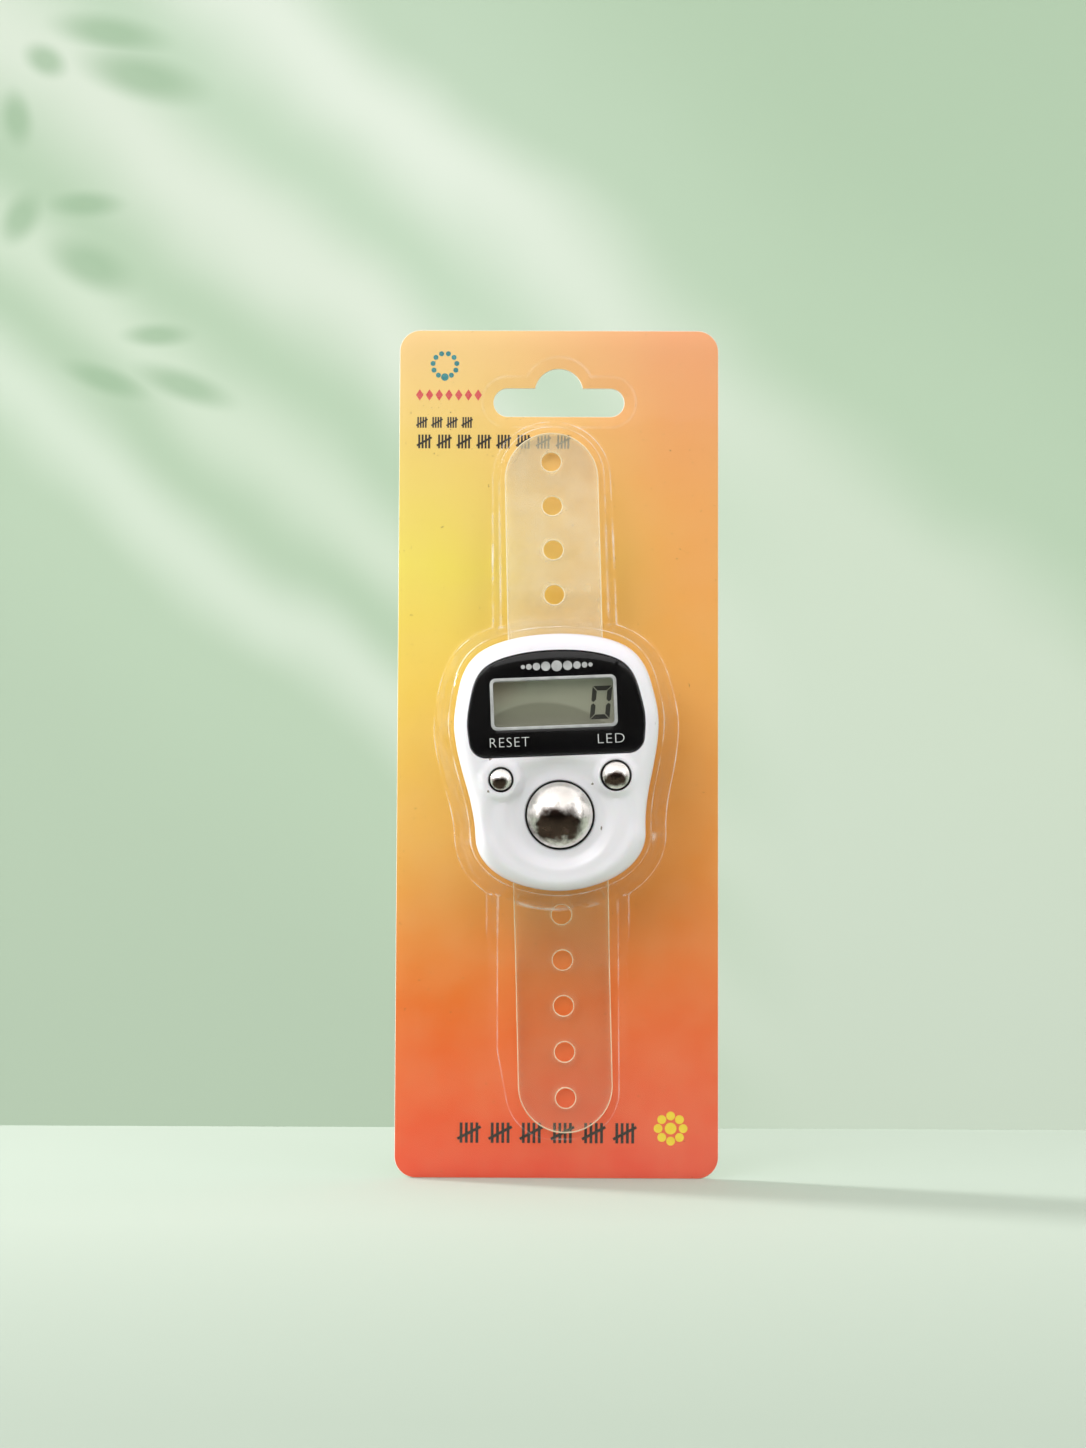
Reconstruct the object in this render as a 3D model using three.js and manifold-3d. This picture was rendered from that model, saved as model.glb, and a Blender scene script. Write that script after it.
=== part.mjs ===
// Digital prayer counter on its hanging card, under a clear formed film.
// Millimetres. The model is drawn lying down, with x across, y up the card and z towards the viewer,
// and the whole group is turned upright at the end. The origin is the top of the hanging slot's crown,
// in the middle of the card's thickness.

import * as THREE from 'three'
import { mergeVertices } from 'three/addons/utils/BufferGeometryUtils.js'
import Module from 'manifold-3d'

const wasm = await Module()
wasm.setup()

// Clearances
const restGap = 0.3 // between pieces that lie on each other
const pocketGap = 0.15 // around a piece that drops into a pocket
const stackGap = 0.1 // between the thin layers of the display
const overlap = 0.2 // of forms that are joined into one solid

// Card
const cardWidth = 53
const cardHeight = 140
const cardThick = 0.5
const cardCorner = 3.5
const slotWidth = 21.7
const slotHeight = 4.7
const crownRadius = 4
const crownRise = 3.3 // from the slot's straight top edge to the crown
const crownInset = 6.45 // from the card's top edge to the crown

// Counter body
const bodyWidth = 32.7
const bodyHeight = 41.1
const bodyTilt = 2.4 // degrees, anticlockwise as it lies in its bubble
const bodyShift = 0 // across, from the card's middle
const bodyDrop = 2.35 // below the card's middle
const bodyLift = 3 // the bowed strap holds the counter this far off the card
const sideWall = 1.4
const rearWall = 1.2
const seamInset = 0.35
const seamHeight = 3.3 // of the rear shell's side, from its back
const rimRoll = 4.2 // how far the front's rolled rim reaches inwards
const rimDrop = 3.5 // and how far down the side
const rearRoll = 2

// Strap
const strapWidth = 15.5
const strapThick = 1
const strapLength = 115.3
const strapRise = -4.95 // the strap's middle, from the card's middle
const strapTilt = 1.5 // degrees
const strapEndLift = 0.3 // of the flat ends above the card
const bowTop = 6 // above the body, where the strap starts to bow down
const bowTopFlat = 2 // of the upper end that lies flat
const bowFoot = 13 // below the body, where the lower end lies flat
const bowFootStart = 1 // inside the body's foot, where the strap starts to bow down
const strapHole = 3.2
const holePitch = 7.5
const upperHoles = 4
const lowerHoles = 5
const upperHoleStart = 4.9 // from the strap's upper end to its first hole
const lowerHoleStart = 5.7

// Bridges on the rear shell that hold the strap
const bridgeThick = 1.2
const bridgeLength = 3.4
const bridgePost = 1.6
const bridgeOffset = 12.9 // from the body's middle
const strapSideGap = 0.6

// Film
const filmThick = 0.35
const filmGlue = 0.05
const filmFoot = 3.3 // the body bubble's foot, outside the body's outline
const filmRim = 0.95 // the bubble's wall, outside the outline at the front
const filmFillet = 0.9
const filmTopGap = 0.4 // over the count button
const channelGap = 0.5 // around the strap
const upperFoot = 1.2 // the strap channel's foot, outside its wall
const lowerFoot = 2

// Display
const lensInset = 2.3 // from the body's outline to the black panel
const lensBottom = 0.95 // the panel's straight lower edge, above the body's middle
const lensCorner = 2.6
const lensSquash = 0.956 // lowers the panel's top a little more than its sides move in
const lensThick = 0.8
const lensSink = 0.35 // the panel's face below the rim
const windowSide = 6.8 // from the body's sides to the window
const windowDrop = 7.55 // from the body's top
const windowHeight = 7.3
const windowX = -0.3
const windowCorner = 0.6
const glassMargin = 1.2 // of the display glass past its window
const glassTopMargin = 0.5
const glassLedge = 1.8 // the front glass's strip of contacts below the rear glass
const plateThick = 0.55
const polarizerThick = 0.15
const foilInset = 0.5 // of the foils from the ends of the glass
const frameWall = 0.8
const frameLip = 0.9
const frameLipThick = 0.45
const zebraWidth = 1.3
const zebraInset = 1 // from the ends of the glass

// Front wall and what stands behind it
const frontWall = 2.4
const displaySpace = 2.2 // from the board to the front wall
const boardThick = 0.8
const boardInset = 0.4 // from the inside of the side wall
const boardTopInset = 6.1 // from the body's top
const boardFootInset = 6.7 // from the body's foot

// Buttons
const countY = -8.5
const countCap = 10.4
const countDome = 2.55 // height of the dome above its skirt
const countStand = 0.45 // of the skirt above the dished face
const keyX = 9.1
const keyY = -2.6
const keyStand = 0.35
const resetCap = 3.35
const resetDome = 0.75
const ledCap = 4.3
const ledDome = 0.95
const buttonGap = 0.3 // around a cap in its hole
const flangeWidth = 0.6
const flangeThick = 0.6
const capWall = 0.9
const plungerRadius = 1.5
const padRadius = 3.3
const padRise = 0.25
const cupGap = 0.1

// Dish around the count button
const dishWidth = 24.4
const dishHeight = 20.2
const dishDepth = 1.9
const dishY = -9.1
const dishCurve = 3 // height of the cutting ellipsoid's middle above the face

// Cells and their door
const cellWidth = 11.6
const cellThick = 3.05
const cellY = -4.2
const cellGap = 0.3
const stripThick = 0.2
const stripWidth = 4
const stripGap = 0.15
const doorMargin = 0.2
const doorTab = 3.4
const doorTabWidth = 5
const doorTongue = 1
const doorTongueThick = 0.6
const doorStep = 1.6 // of the tongue inside the door's edge
const doorTabRoot = 2 // of the tab inside the door's edge
const cellRib = 0.7

// Screws
const screwHead = 3
const screwHeadThick = 0.7
const screwShank = 1.4
const screwLength = 5.4
const screwSlot = 0.4
const bossRadius = 1.6
const screwTopX = 9.2
const screwTopInset = 4.2 // from the body's top
const screwLowX = 7.4
const screwFootInset = 4.7 // from the body's foot
const collarThick = 1
const doorScrewLength = 2.6

// Small parts on the board
const blobRadius = 1.8
const blobGap = 0.55 // from the display frame
const blobHeight = 0.9
const chipLong = 1.6
const chipWide = 0.8
const chipTall = 0.5
const chipX = 4.6
const ledLong = 2.8
const ledWide = 1
const ledTall = 1.2

// Levels, from the card's middle towards the viewer
const cardFront = cardThick / 2
const filmBase = cardFront + filmGlue
const bridgeBack = cardFront + bodyLift
const strapBack = bridgeBack + bridgeThick + restGap
const shellBack = strapBack + strapThick + restGap
const rearFloor = shellBack + rearWall
const bridgeStrip = rearFloor + stripGap
const cellBack = bridgeStrip + stripThick + stripGap
const contactBack = cellBack + cellThick + stripGap
const boardBack = contactBack + stripThick + stripGap
const boardFront = boardBack + boardThick
const roof = boardFront + displaySpace
const face = roof + frontWall
const seam = shellBack + seamHeight
const lensFront = face - lensSink
const lensBack = lensFront - lensThick
const recessFloor = lensBack - stackGap
const flangeFront = roof - restGap
const flangeBack = flangeFront - flangeThick
const collarFront = rearFloor + collarThick
const polarizerFront = roof - stackGap
const glassFront = polarizerFront - polarizerThick - stackGap / 2
const glassMiddle = glassFront - plateThick
const glassBack = glassMiddle - plateThick
const reflectorFront = glassBack - stackGap / 2
const reflectorBack = reflectorFront - polarizerThick

// Plan
const cardMiddle = crownInset - cardHeight / 2
const strapHalf = strapWidth / 2
const cellRadius = cellWidth / 2
const cellX = cellRadius + cellGap / 2
const windowWidth = bodyWidth - 2 * windowSide
const windowY = bodyHeight / 2 - windowDrop - windowHeight / 2
const screwTopY = bodyHeight / 2 - screwTopInset
const screwLowY = screwFootInset - bodyHeight / 2
const boardTop = bodyHeight / 2 - boardTopInset
const boardBottom = boardFootInset - bodyHeight / 2
const outlineSteps = 76

// Turns a closed geometry into a solid, and a solid into a geometry
function solid(geometry) {
  const bare = geometry.clone()
  bare.deleteAttribute('normal')
  bare.deleteAttribute('uv')
  const merged = mergeVertices(bare, 1e-5)
  const at = merged.attributes.position.array
  const kept = []
  let volume = 0
  for (let i = 0; i < merged.index.count; i += 3) {
    const [a, b, c] = merged.index.array.slice(i, i + 3)
    if (a === b || b === c || c === a) continue
    kept.push([a, b, c])
    const p = new THREE.Vector3().fromArray(at, 3 * a)
    const q = new THREE.Vector3().fromArray(at, 3 * b)
    const r = new THREE.Vector3().fromArray(at, 3 * c)
    volume += p.dot(q.cross(r))
  }
  const outward = volume > 0 ? kept : kept.map(([a, b, c]) => [a, c, b])
  const triVerts = new Uint32Array(outward.flat())
  return new wasm.Manifold(new wasm.Mesh({ numProp: 3, vertProperties: at, triVerts }))
}

function shapeOf(body) {
  const mesh = body.getMesh()
  const geometry = new THREE.BufferGeometry()
  geometry.setAttribute('position', new THREE.BufferAttribute(new Float32Array(mesh.vertProperties), 3))
  geometry.setIndex(new THREE.BufferAttribute(new Uint32Array(mesh.triVerts), 1))
  geometry.computeVertexNormals()
  return geometry
}

function joined(...bodies) {
  return bodies.reduce((sum, body) => sum.add(body))
}

function cut(body, ...tools) {
  return tools.reduce((left, tool) => left.subtract(tool), body)
}

// Basic solids, each between two levels of z
function slab(points, low, high) {
  const shape = new THREE.Shape(points)
  const geometry = new THREE.ExtrudeGeometry(shape, { depth: high - low, bevelEnabled: false })
  return solid(geometry.translate(0, 0, low))
}

function block(left, right, bottom, top, low, high) {
  const geometry = new THREE.BoxGeometry(right - left, top - bottom, high - low)
  return solid(geometry.translate((left + right) / 2, (bottom + top) / 2, (low + high) / 2))
}

function rod(x, y, radius, low, high, sides = 16) {
  const geometry = new THREE.CylinderGeometry(radius, radius, high - low, sides)
  return solid(geometry.rotateX(Math.PI / 2).translate(x, y, (low + high) / 2))
}

function turned(profile, sides = 20) {
  const points = profile.map(([r, z]) => new THREE.Vector2(r, z))
  return solid(new THREE.LatheGeometry(points, sides).rotateX(Math.PI / 2))
}

function moved(body, x, y, z = 0) {
  return body.translate(x, y, z)
}

// A solid through rings of points, closed by its first and last ring
function lofted(rings, across = (p) => new THREE.Vector2(p.x, p.y)) {
  const count = rings[0].length
  const index = []
  for (let k = 0; k + 1 < rings.length; k++) {
    for (let i = 0; i < count; i++) {
      const a = k * count + i
      const b = k * count + ((i + 1) % count)
      index.push(a, b, b + count)
      index.push(a, b + count, a + count)
    }
  }
  const side = THREE.ShapeUtils.area(rings[0].map(across)) > 0 ? 1 : -1
  const last = (rings.length - 1) * count
  for (const [ring, start, turn] of [[rings[0], 0, -1], [rings.at(-1), last, 1]]) {
    const flat = ring.map(across)
    const order = side > 0 ? [...flat.keys()] : [...flat.keys()].reverse()
    const corners = order.map((i) => flat[i])
    for (const triangle of THREE.ShapeUtils.triangulateShape(corners, [])) {
      const [a, b, c] = triangle.map((i) => start + order[i])
      index.push(...(turn * side > 0 ? [a, b, c] : [a, c, b]))
    }
  }
  const geometry = new THREE.BufferGeometry()
  const places = new Float32Array(rings.flat().flatMap((p) => [p.x, p.y, p.z]))
  geometry.setAttribute('position', new THREE.BufferAttribute(places, 3))
  geometry.setIndex(index)
  return solid(geometry)
}

// Outlines in plan
function roundedBox(width, height, radius, x = 0, y = 0) {
  const w = width / 2 - radius
  const h = height / 2 - radius
  const shape = new THREE.Shape()
  shape.absarc(x + w, y + h, radius, 0, Math.PI / 2)
  shape.absarc(x - w, y + h, radius, Math.PI / 2, Math.PI)
  shape.absarc(x - w, y - h, radius, Math.PI, Math.PI * 1.5)
  shape.absarc(x + w, y - h, radius, Math.PI * 1.5, Math.PI * 2)
  return shape.getPoints(6)
}

function stadium(halfLength, radius, y) {
  const shape = new THREE.Shape()
  shape.absarc(halfLength, y, radius, -Math.PI / 2, Math.PI / 2)
  shape.absarc(-halfLength, y, radius, Math.PI / 2, Math.PI * 1.5)
  return shape.getPoints(10)
}

// Half of the body's outline as shares of its half width and half height, from the top down the right
const bodyHalf = [
  [0, 1], [0.393, 0.972], [0.72, 0.877], [0.888, 0.72], [0.967, 0.507], [1, 0.289], [0.943, -0.024],
  [0.87, -0.27], [0.832, -0.5], [0.825, -0.62], [0.765, -0.739], [0.61, -0.863], [0.36, -0.955], [0, -1],
]

function bodyCurve() {
  const scaled = ([x, y]) => new THREE.Vector3((x * bodyWidth) / 2, (y * bodyHeight) / 2, 0)
  const right = bodyHalf.map(scaled)
  const left = bodyHalf.slice(1, -1).map(([x, y]) => scaled([-x, y]))
  return new THREE.CatmullRomCurve3([...left.reverse(), right[0], ...right.slice(1)].reverse(), true)
}

const bodyPath = bodyCurve()

// The body's outline moved outwards by an offset, anticlockwise
function outline(offset, z = 0) {
  const points = []
  for (let i = 0; i < outlineSteps; i++) {
    const at = i / outlineSteps
    const p = bodyPath.getPointAt(at)
    const along = bodyPath.getTangentAt(at)
    const side = new THREE.Vector3(along.y, -along.x, 0)
    points.push(p.addScaledVector(side, offset).setZ(z))
  }
  return points
}

function flatOutline(offset) {
  return outline(offset).map((p) => new THREE.Vector2(p.x, p.y))
}

// Moves each corner of an anticlockwise outline outwards
function grown(points, gap) {
  return points.map((p, i) => {
    const before = points.at(i - 1)
    const after = points[(i + 1) % points.length]
    const along = new THREE.Vector2().subVectors(after, before).normalize()
    return new THREE.Vector2(p.x + along.y * gap, p.y - along.x * gap)
  })
}

// The black panel: the body's outline moved in, cut straight below, with two round corners
function lensOutline(gap) {
  const start = lensBottom + lensCorner
  const around = flatOutline(-lensInset).filter((p) => p.y > start)
  for (const p of around) p.y = start + (p.y - start) * lensSquash
  const right = around.filter((p) => p.x > 0).sort((a, b) => a.y - b.y)
  const left = around.filter((p) => p.x <= 0).sort((a, b) => b.y - a.y)
  const half = right[0].x - lensCorner
  const corner = (x, from) => {
    const arc = new THREE.EllipseCurve(x, start, lensCorner, lensCorner, from, from + Math.PI / 2)
    return arc.getPoints(5)
  }
  return grown([...right, ...left, ...corner(-half, Math.PI), ...corner(half, Math.PI * 1.5)], gap)
}

// Card with its hanging slot
function slotPath() {
  const radius = slotHeight / 2
  const middle = -crownRise - radius
  const reach = slotWidth / 2 - radius
  const rest = crownRadius - crownRise
  const lean = Math.asin(Math.min(1, rest / crownRadius))
  const path = new THREE.Path()
  path.absarc(reach, middle, radius, -Math.PI / 2, Math.PI / 2)
  path.absarc(0, -crownRadius, crownRadius, lean, Math.PI - lean)
  path.absarc(-reach, middle, radius, Math.PI / 2, Math.PI * 1.5)
  return new THREE.Path(path.getPoints(10))
}

function cardPlate(low, high) {
  const shape = new THREE.Shape(roundedBox(cardWidth, cardHeight, cardCorner, 0, cardMiddle))
  shape.holes.push(slotPath())
  const geometry = new THREE.ExtrudeGeometry(shape, { depth: high - low, bevelEnabled: false })
  return solid(geometry.translate(0, 0, low))
}

// Strap: flat under the body, bowed down to the card at both ends. Drawn on its own centre line,
// with y from the card's middle
const strapTop = strapRise + strapLength / 2
const strapEnd = strapRise - strapLength / 2
const bodyTop = bodyHeight / 2 - bodyDrop
const bodyFoot = -bodyHeight / 2 - bodyDrop

function strapLevel(y) {
  const flat = cardFront + strapEndLift
  const upper = 1 - THREE.MathUtils.smoothstep(y, bodyTop + bowTop, strapTop - bowTopFlat)
  const lower = THREE.MathUtils.smoothstep(y, bodyFoot - bowFoot, bodyFoot + bowFootStart)
  return flat + (strapBack - flat) * Math.min(upper, lower)
}

// Half width of a round-ended strip at y, with its outline moved outwards by an offset
function stripHalf(y, offset) {
  const radius = strapHalf + offset
  const straightTop = strapTop - strapHalf
  const straightEnd = strapEnd + strapHalf
  const past = Math.max(0, y - straightTop, straightEnd - y)
  return Math.sqrt(Math.max(0, radius * radius - past * past))
}

function strapStations(offset) {
  const stations = []
  const ends = 5
  const straightTop = strapTop - strapHalf
  const straightEnd = strapEnd + strapHalf
  const radius = strapHalf + offset
  for (let i = 0; i < ends; i++) {
    stations.push(straightEnd - radius * Math.cos((i / ends + 0.02) * Math.PI * 0.49))
  }
  const runs = 20
  for (let i = 0; i <= runs; i++) stations.push(straightEnd + ((straightTop - straightEnd) * i) / runs)
  for (let i = ends - 1; i >= 0; i--) {
    stations.push(straightTop + radius * Math.cos((i / ends + 0.02) * Math.PI * 0.49))
  }
  return stations
}

const acrossStrap = (p) => new THREE.Vector2(p.x, -p.z)

function strapSolid() {
  const rings = strapStations(0).map((y) => {
    const half = stripHalf(y, 0)
    const low = strapLevel(y)
    const high = low + strapThick
    const corners = [[-half, low], [-half, high], [half, high], [half, low]]
    return corners.map(([x, z]) => new THREE.Vector3(x, y, z))
  })
  const places = []
  for (let i = 0; i < upperHoles; i++) places.push(strapTop - upperHoleStart - i * holePitch)
  for (let i = 0; i < lowerHoles; i++) places.push(strapEnd + lowerHoleStart + i * holePitch)
  const holes = places.map((y) => rod(0, y, strapHole / 2, cardFront, shellBack, 14))
  return cut(lofted(rings, acrossStrap), ...holes)
}

// Film: the flange on the card, a bubble over the body and a channel over the strap
const capTop = face - dishDepthAt(countCap / 2 + buttonGap) + countStand + countDome
const filmInside = capTop + filmTopGap

function dishDepthAt(radius) {
  const tall = dishDepth + dishCurve
  const reach = Math.sqrt(1 - (dishCurve / tall) ** 2)
  const across = dishHeight / 2 / reach
  return tall * Math.sqrt(1 - (radius / across) ** 2) - dishCurve
}

function bubble(skin) {
  const top = filmInside + skin
  const low = skin > 0 ? filmBase : filmBase - 1
  const levels = [
    [low, filmFoot + filmFillet + skin],
    [filmBase + skin, filmFoot + filmFillet + skin],
    [filmBase + skin + filmFillet, filmFoot + skin],
    [top - 2.6 * filmFillet, filmRim + skin],
    [top - 0.8 * filmFillet, filmRim - 0.6 * filmFillet + skin],
    [top, filmRim - 2 * filmFillet],
  ]
  return lofted(levels.map(([z, offset]) => outline(offset, z)))
}

function channel(skin) {
  const low = skin > 0 ? filmBase : filmBase - 1
  const rings = strapStations(channelGap + skin).map((y) => {
    const top = strapLevel(y) + strapThick + channelGap + skin
    const foot = y > -bodyDrop ? upperFoot : lowerFoot
    const half = stripHalf(y, channelGap + skin)
    const wide = half + foot * Math.min(1, half / strapHalf)
    const corner = Math.min(1, half / 2)
    const right = [[wide, low], [wide, filmBase + skin], [half, top - corner], [half - corner, top]]
    const left = right.map(([x, z]) => [-x, z]).reverse()
    return [...right, ...left].map(([x, z]) => new THREE.Vector3(x, y, z))
  })
  return lofted(rings, acrossStrap)
}

function placed(body, x, y, degrees) {
  return body.rotate([0, 0, degrees]).translate([x, y, 0])
}

function blisterSolid() {
  const over = (skin) => {
    const dome = placed(bubble(skin), bodyShift, cardMiddle - bodyDrop, bodyTilt)
    return joined(dome, placed(channel(skin), 0, cardMiddle, strapTilt))
  }
  const flange = cardPlate(filmBase, filmBase + filmThick)
  return cut(joined(flange, over(filmThick)), over(0))
}

// Front shell
const screwPlaces = {
  top_left: [-screwTopX, screwTopY],
  top_right: [screwTopX, screwTopY],
  low_left: [-screwLowX, screwLowY],
  low_right: [screwLowX, screwLowY],
}

function dishTool() {
  const tall = dishDepth + dishCurve
  const reach = Math.sqrt(1 - (dishCurve / tall) ** 2)
  const ball = new THREE.SphereGeometry(1, 28, 18).rotateX(Math.PI / 2)
  ball.scale(dishWidth / 2 / reach, dishHeight / 2 / reach, tall)
  return solid(ball.translate(0, dishY, face + dishCurve))
}

function frontShell() {
  const rolls = 5
  const rings = [outline(-seamInset, seam), outline(0, (seam + face - rimDrop) / 2)]
  for (let i = 0; i <= rolls; i++) {
    const turn = ((i / rolls) * Math.PI) / 2
    rings.push(outline(-rimRoll * (1 - Math.cos(turn)), face - rimDrop * (1 - Math.sin(turn))))
  }
  const inside = slab(flatOutline(-sideWall), seam - 1, roof)
  const places = Object.values(screwPlaces)
  const posts = places.map(([x, y]) => rod(x, y, bossRadius, collarFront + restGap, roof + 0.5))
  const clearOfRear = joined(
    slab(flatOutline(-sideWall - pocketGap), collarFront, roof + 1),
    slab(flatOutline(-seamInset), seam, roof + 1),
  )
  const pads = [-keyX, keyX].map((x) => rod(x, keyY, padRadius, roof - overlap, face + padRise, 28))
  const hollow = cut(lofted(rings), dishTool(), inside)
  const whole = joined(hollow, joined(...posts).intersect(clearOfRear), ...pads)
  const pilots = places.map(([x, y]) => rod(x, y, screwShank / 2 + stackGap, collarFront, roof - 1))
  const recess = slab(lensOutline(pocketGap), recessFloor, face + 1)
  const view = slab(roundedBox(windowWidth, windowHeight, windowCorner, windowX, windowY), roof - 1, face)
  const through = (x, y, cap, sides) => rod(x, y, cap / 2 + buttonGap, roof - 1, face + 1, sides)
  const holes = [
    through(0, countY, countCap, 32),
    through(-keyX, keyY, resetCap, 20),
    through(keyX, keyY, ledCap, 20),
  ]
  return cut(whole, ...pilots, recess, view, ...holes)
}

// Rear shell with its strap bridges, the wall around the cells and the door's opening
const doorScrewY = cellY + cellRadius + doorMargin + doorTab / 2

function rearShell() {
  const rolls = 4
  const rings = []
  for (let i = 0; i <= rolls; i++) {
    const turn = ((i / rolls) * Math.PI) / 2
    const inset = rearRoll * (1 - Math.sin(turn))
    rings.push(outline(-seamInset - inset, shellBack + rearRoll * (1 - Math.cos(turn))))
  }
  rings.push(outline(-seamInset, seam - pocketGap))
  const bowl = cut(lofted(rings), slab(flatOutline(-sideWall), rearFloor, seam + 1))
  const openRadius = cellRadius + doorMargin + pocketGap
  const ribTop = boardBack - restGap
  const rib = slab(stadium(cellX, openRadius + cellRib, cellY), rearFloor - overlap, ribTop)
  const ribInside = slab(stadium(cellX, openRadius, cellY), shellBack - 1, ribTop + 1)
  const doorPost = rod(0, doorScrewY, bossRadius, rearFloor - overlap, ribTop)
  const postX = strapHalf + strapSideGap
  const bridges = [-bridgeOffset, bridgeOffset].map((y) => {
    const low = y - bridgeLength / 2
    const high = y + bridgeLength / 2
    const end = postX + bridgePost
    const root = shellBack + rearWall / 4
    const bar = block(-end, end, low, high, bridgeBack, bridgeBack + bridgeThick)
    const left = block(-end, -postX, low, high, bridgeBack, root)
    return joined(bar, left, block(postX, end, low, high, bridgeBack, root))
  })
  const places = Object.values(screwPlaces)
  const collarRadius = screwHead / 2 + sideWall / 2
  const collars = places.map(([x, y]) => rod(x, y, collarRadius, rearFloor - overlap, collarFront))
  const collarArea = slab(flatOutline(-sideWall / 2), rearFloor - 0.3, collarFront + 0.1)
  const inCollars = joined(...collars).intersect(collarArea)
  const sinks = places.map(([x, y]) => rod(x, y, screwHead / 2 + pocketGap, shellBack - 1, headFloor))
  const bores = places.map(([x, y]) => rod(x, y, screwShank / 2 + pocketGap, shellBack, collarFront + 1))
  const tabRoom = block(
    -doorTabWidth / 2 - pocketGap, doorTabWidth / 2 + pocketGap,
    cellY, cellY + cellRadius + doorMargin + doorTab + pocketGap,
    shellBack - 1, rearFloor + pocketGap,
  )
  const tongueY = cellY - openRadius
  const tongueRoom = block(
    -doorTabWidth / 2 - pocketGap, doorTabWidth / 2 + pocketGap,
    tongueY - doorTongue - pocketGap, tongueY + 1,
    rearFloor, rearFloor + doorTongueThick + 2 * pocketGap,
  )
  const pilot = rod(0, doorScrewY, screwShank / 2 + stackGap, shellBack, ribTop - 0.5)
  const whole = joined(bowl, rib, doorPost, inCollars, ...bridges)
  return cut(whole, ribInside, ...sinks, ...bores, tabRoom, tongueRoom, pilot)
}

const headFloor = shellBack + screwHeadThick + pocketGap

function batteryDoor() {
  const plate = slab(stadium(cellX, cellRadius + doorMargin, cellY), shellBack, rearFloor)
  const top = cellY + cellRadius + doorMargin
  const low = cellY - cellRadius - doorMargin
  const half = doorTabWidth / 2
  const tab = block(-half, half, top - doorTabRoot, top + doorTab, shellBack, rearFloor)
  const tongueLow = rearFloor + pocketGap
  const step = block(-half, half, low, low + doorStep, rearFloor - overlap, tongueLow + doorTongueThick)
  const tongue = block(-half, half, low - doorTongue, low + doorStep, tongueLow, tongueLow + doorTongueThick)
  const bore = rod(0, doorScrewY, screwShank / 2 + pocketGap, shellBack - 1, rearFloor + 1)
  const sink = rod(0, doorScrewY, screwHead / 2 + pocketGap, shellBack - 1, headFloor)
  return cut(joined(plate, tab, step, tongue), bore, sink)
}

function screw(length) {
  const head = screwHead / 2
  const shank = screwShank / 2
  const profile = [
    [0, 0], [head * 0.85, 0], [head, 0.25], [head, screwHeadThick], [shank, screwHeadThick],
    [shank, screwHeadThick + length - 0.8], [0, screwHeadThick + length],
  ]
  const arm = head * 0.6
  const slot = (w, h) => block(-w, w, -h, h, -1, screwHeadThick / 2)
  return cut(turned(profile, 12), slot(arm, screwSlot / 2), slot(screwSlot / 2, arm))
}

// Buttons: domed caps with a flange behind the front wall and a plunger in the middle
function domePoints(radius, height, base, steps) {
  const sphere = (radius * radius + height * height) / (2 * height)
  const points = []
  for (let i = 0; i <= steps; i++) {
    const lean = (i / steps) * Math.asin(Math.min(1, radius / sphere))
    points.push([sphere * Math.sin(lean), base + height - sphere * (1 - Math.cos(lean))])
  }
  return points
}

const countFace = face - dishDepthAt(countCap / 2 + buttonGap)

function countButton() {
  const r = countCap / 2
  const base = countFace + countStand
  const inner = domePoints(r - capWall, countDome - 0.3, base - capWall + 0.3, 4)
  const hollow = inner.filter(([x]) => x > plungerRadius + 0.3).reverse()
  const profile = [
    ...domePoints(r, countDome, base, 6),
    [r, flangeFront], [r + flangeWidth + buttonGap, flangeFront], [r + flangeWidth + buttonGap, flangeBack],
    [r - capWall, flangeBack], ...hollow, [plungerRadius, hollow.at(-1)[1]],
    [plungerRadius, flangeBack], [0, flangeBack],
  ]
  return moved(turned(profile, 28), [0, countY, 0])
}

function keyButton(cap, dome, x) {
  const r = cap / 2
  const base = face + padRise + keyStand
  const edge = r + buttonGap + flangeWidth
  const flange = [[r, flangeFront], [edge, flangeFront], [edge, flangeBack], [0, flangeBack]]
  return moved(turned([...domePoints(r, dome, base, 4), ...flange], 18), [x, keyY, 0])
}

// Rubber switch cup, hollow below, that stands on the board under a button
function rubberCup(radius, x, y) {
  const low = boardFront + cupGap
  const high = flangeBack - cupGap
  const tall = high - low
  const profile = [
    [0, high], [radius * 0.55, high], [radius * 0.8, low + tall * 0.35], [radius, low + tall * 0.25],
    [radius, low], [radius * 0.75, low], [radius * 0.45, low + tall * 0.5], [0, low + tall * 0.5],
  ]
  return moved(turned(profile, 14), [x, y, 0])
}

// Display stack
const glassWidth = windowWidth + 2 * glassMargin
const glassTop = windowY + windowHeight / 2 + glassTopMargin
const glassFoot = windowY - windowHeight / 2 - glassMargin
const ledgeFoot = glassFoot - glassLedge
const frameFoot = ledgeFoot - pocketGap - frameWall

function centred(width, bottom, top, low, high, middle = windowX) {
  return block(middle - width / 2, middle + width / 2, bottom, top, low, high)
}

function glassSolid() {
  const front = centred(glassWidth, ledgeFoot, glassTop, glassMiddle, glassFront)
  return joined(front, centred(glassWidth, glassFoot, glassTop, glassBack, glassMiddle + 0.01))
}

function frameSolid() {
  const room = 2 * pocketGap
  const outer = glassWidth + room + 2 * frameWall
  const low = frameFoot
  const high = glassTop + pocketGap + frameWall
  const ring = centred(outer, low, high, boardFront + stackGap, roof - stackGap)
  const hole = centred(glassWidth + room, low + frameWall, high - frameWall, reflectorBack - stackGap, roof)
  const lipTop = reflectorBack - stackGap
  const open = glassWidth + room - 2 * frameLip
  const under = centred(open, glassFoot + frameLip, glassTop - frameLip, 0, roof)
  const zebraRoom = centred(glassWidth + room, low + frameWall, glassFoot - stackGap, 0, roof)
  const thin = centred(
    glassWidth + room, low + frameWall, high - frameWall, boardFront - 1, lipTop - frameLipThick,
  )
  return cut(ring, hole, under, zebraRoom, thin)
}

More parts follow.
